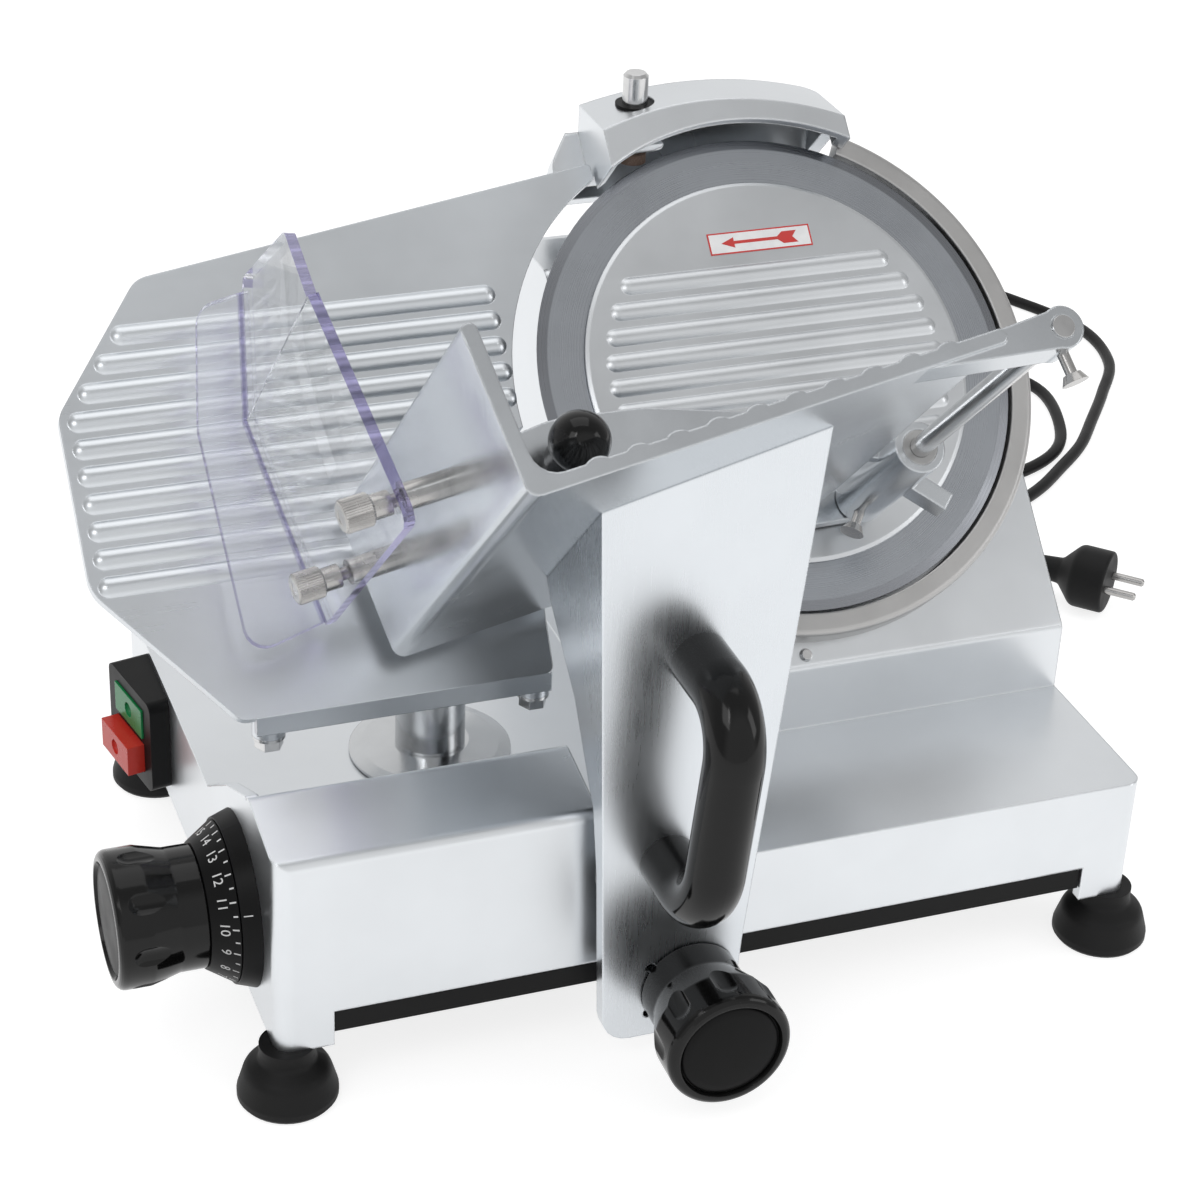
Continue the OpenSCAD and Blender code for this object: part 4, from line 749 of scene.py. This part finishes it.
def wind_spring():
    """A round wire spun up a helix."""
    low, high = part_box("plunger_spring")
    centre = (low + high) / 2
    coil_r = (high.x - low.x) / 2 - 2 * WIRE_R
    climb = high.z - low.z - 2 * (WIRE_R + SPRING_AIR)
    foot = Matrix.Translation((centre.x + coil_r, centre.y, low.z + WIRE_R + SPRING_AIR))
    shape = bmesh.new()
    wire = bmesh.ops.create_circle(shape, cap_ends=True, segments=WIRE_SIDES, radius=WIRE_R)["verts"]
    bmesh.ops.transform(shape, matrix=foot @ Matrix.Rotation(QUARTER, 4, "X"), verts=wire)
    steps = SPRING_TURNS * TURN_STEPS
    bmesh.ops.spin(shape, geom=shape.faces[:], cent=centre, axis=(0, 0, 1), dvec=(0, 0, climb / steps),
                   angle=2 * math.pi * SPRING_TURNS, steps=steps)
    bmesh.ops.holes_fill(shape, edges=[edge for edge in shape.edges if edge.is_boundary])
    bmesh.ops.recalc_face_normals(shape, faces=shape.faces)
    smooth(shape)
    made = finish_piece("coil_spring", shape, [bright_steel], "base")
    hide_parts("plunger_spring")
    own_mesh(made)


wind_spring()


# Sign on the blade cover: a plain arrow for the way the blade turns

SIGN_PLACE = (0.006, 0.0690, 0.0025)
SIGN_SIZE = (0.056, 0.0116)
SIGN_T = 0.0002
SIGN_BORDER = 0.0011
ARROW_T = 0.00008
ARROW_TOP = [(-0.0142, 0.0028), (-0.0142, 0.0008), (0.0095, 0.0008), (0.0125, 0.0032), (0.0205, 0.0032)]
ARROW_TIP = (-0.0212, 0)
ARROW_NOTCH = (0.0178, 0)


def cover_sign():
    """A white sheet with a red border and a red arrow on it."""
    shape = bmesh.new()
    made = bmesh.ops.create_grid(shape, x_segments=1, y_segments=1, size=0.5)
    bmesh.ops.scale(shape, vec=(*SIGN_SIZE, 1), verts=made["verts"])
    sheet = shape.faces[:]
    bmesh.ops.inset_individual(shape, faces=sheet, thickness=SIGN_BORDER)
    for side in shape.faces:
        side.material_index = 1
    sheet[0].material_index = 0
    raise_faces(shape, shape.faces[:], SIGN_T)
    outline = [ARROW_TIP, *ARROW_TOP, ARROW_NOTCH, *((x, -y) for x, y in reversed(ARROW_TOP))]
    arrow = shape.faces.new([shape.verts.new((x, y, SIGN_T)) for x, y in outline])
    arrow.material_index = 1
    raise_faces(shape, [arrow], ARROW_T)
    bmesh.ops.recalc_face_normals(shape, faces=shape.faces)
    bmesh.ops.transform(shape, matrix=BLADE @ Matrix.Translation(SIGN_PLACE), verts=shape.verts)
    finish_piece("turning_sign", shape, [sign_white, sign_red], "base")


cover_sign()


# Stage: pale floor, white surround and soft lamps

FLOOR_HALF = 6.0
FLOOR_GLOW = 0.80
SURROUND_LOW = 0.47
SURROUND_DIFFUSE = 0.7
WHITE = (1, 1, 1, 1)


def white_where_seen(n, path, reflected):
    """1 on rays from the camera and through glass, and the given value on rays from glossy faces."""
    seen = n.math("MAXIMUM", path.outputs["Is Camera Ray"], path.outputs["Is Transmission Ray"])
    return n.math("MAXIMUM", seen, n.math("MULTIPLY", path.outputs["Is Glossy Ray"], reflected))


def lay_floor():
    """A pale matt floor that keeps the shadow and looks white to the camera and in reflections."""
    shape = bmesh.new()
    bmesh.ops.create_grid(shape, x_segments=1, y_segments=1, size=FLOOR_HALF)
    mesh = bpy.data.meshes.new("floor")
    shape.to_mesh(mesh)
    shape.free()
    floor = bpy.data.objects.new("floor", mesh)
    scene.collection.objects.link(floor)
    made = bpy.data.materials.new("floor")
    made.use_nodes = True
    made.node_tree.nodes.clear()
    n = Nodes(made.node_tree)
    place = n.add("ShaderNodeTexCoord").outputs["Object"]
    paper = n.add("ShaderNodeTexNoise", {"Vector": place, "Scale": 3.0})
    tone = n.blend(paper.outputs[0], (0.40, 0.40, 0.40, 1), (0.42, 0.42, 0.42, 1))
    matt = n.add("ShaderNodeBsdfDiffuse", {"Color": tone})
    seen = white_where_seen(n, n.add("ShaderNodeLightPath"), 1.0)
    glow = n.add("ShaderNodeEmission", {"Color": WHITE, "Strength": n.math("MULTIPLY", seen, FLOOR_GLOW)})
    both = n.add("ShaderNodeAddShader", {0: matt.outputs[0], 1: glow.outputs[0]})
    n.add("ShaderNodeOutputMaterial", {"Surface": both.outputs[0]})
    floor.data.materials.append(made)


def surround():
    """White to the camera, and graded from front to back in the metal's reflections."""
    world = bpy.data.worlds.new("surround")
    world.use_nodes = True
    world.node_tree.nodes.clear()
    n = Nodes(world.node_tree)
    way = n.add("ShaderNodeSeparateXYZ", {0: n.add("ShaderNodeTexCoord").outputs["Generated"]})
    front = n.spread(way.outputs["Y"], -0.40, -0.66, 0.0, 0.40)
    back = n.spread(way.outputs["Y"], 0.1, 0.8, 0.0, 0.45)
    graded = n.math("ADD", n.math("ADD", front, back), SURROUND_LOW)
    path = n.add("ShaderNodeLightPath")
    matt = n.math("MULTIPLY", path.outputs["Is Diffuse Ray"], SURROUND_DIFFUSE)
    strength = n.math("MAXIMUM", white_where_seen(n, path, graded), matt)
    light = n.add("ShaderNodeBackground", {"Color": WHITE, "Strength": strength})
    n.add("ShaderNodeOutputWorld", {"Surface": light.outputs[0]})
    scene.world = world


def soft_lamp(name, place, target, size, power):
    """A rectangular lamp turned to its target; the power is in watts."""
    lamp = bpy.data.lights.new(name, "AREA")
    lamp.shape = "RECTANGLE"
    lamp.size, lamp.size_y = size
    lamp.energy = power
    made = bpy.data.objects.new(name, lamp)
    made.location = place
    made.rotation_mode = "QUATERNION"
    made.rotation_quaternion = (Vector(target) - Vector(place)).to_track_quat("-Z", "Y")
    scene.collection.objects.link(made)


lay_floor()
surround()
soft_lamp("key", (-1.62, -1.12, 2.05), (0, 0, 0.15), (1.1, 1.1), 7)
soft_lamp("strip", (-1.25, -1.35, 2.3), (0, 0, 0.15), (0.12, 0.9), 2)
soft_lamp("fill", (1.9, -1.2, 1.2), (0, 0, 0.2), (0.7, 1.2), 5)
soft_lamp("top", (0.1, 0.5, 2.4), (0, 0, 0.1), (2.0, 1.6), 9)
scene.view_settings.view_transform = "Standard"
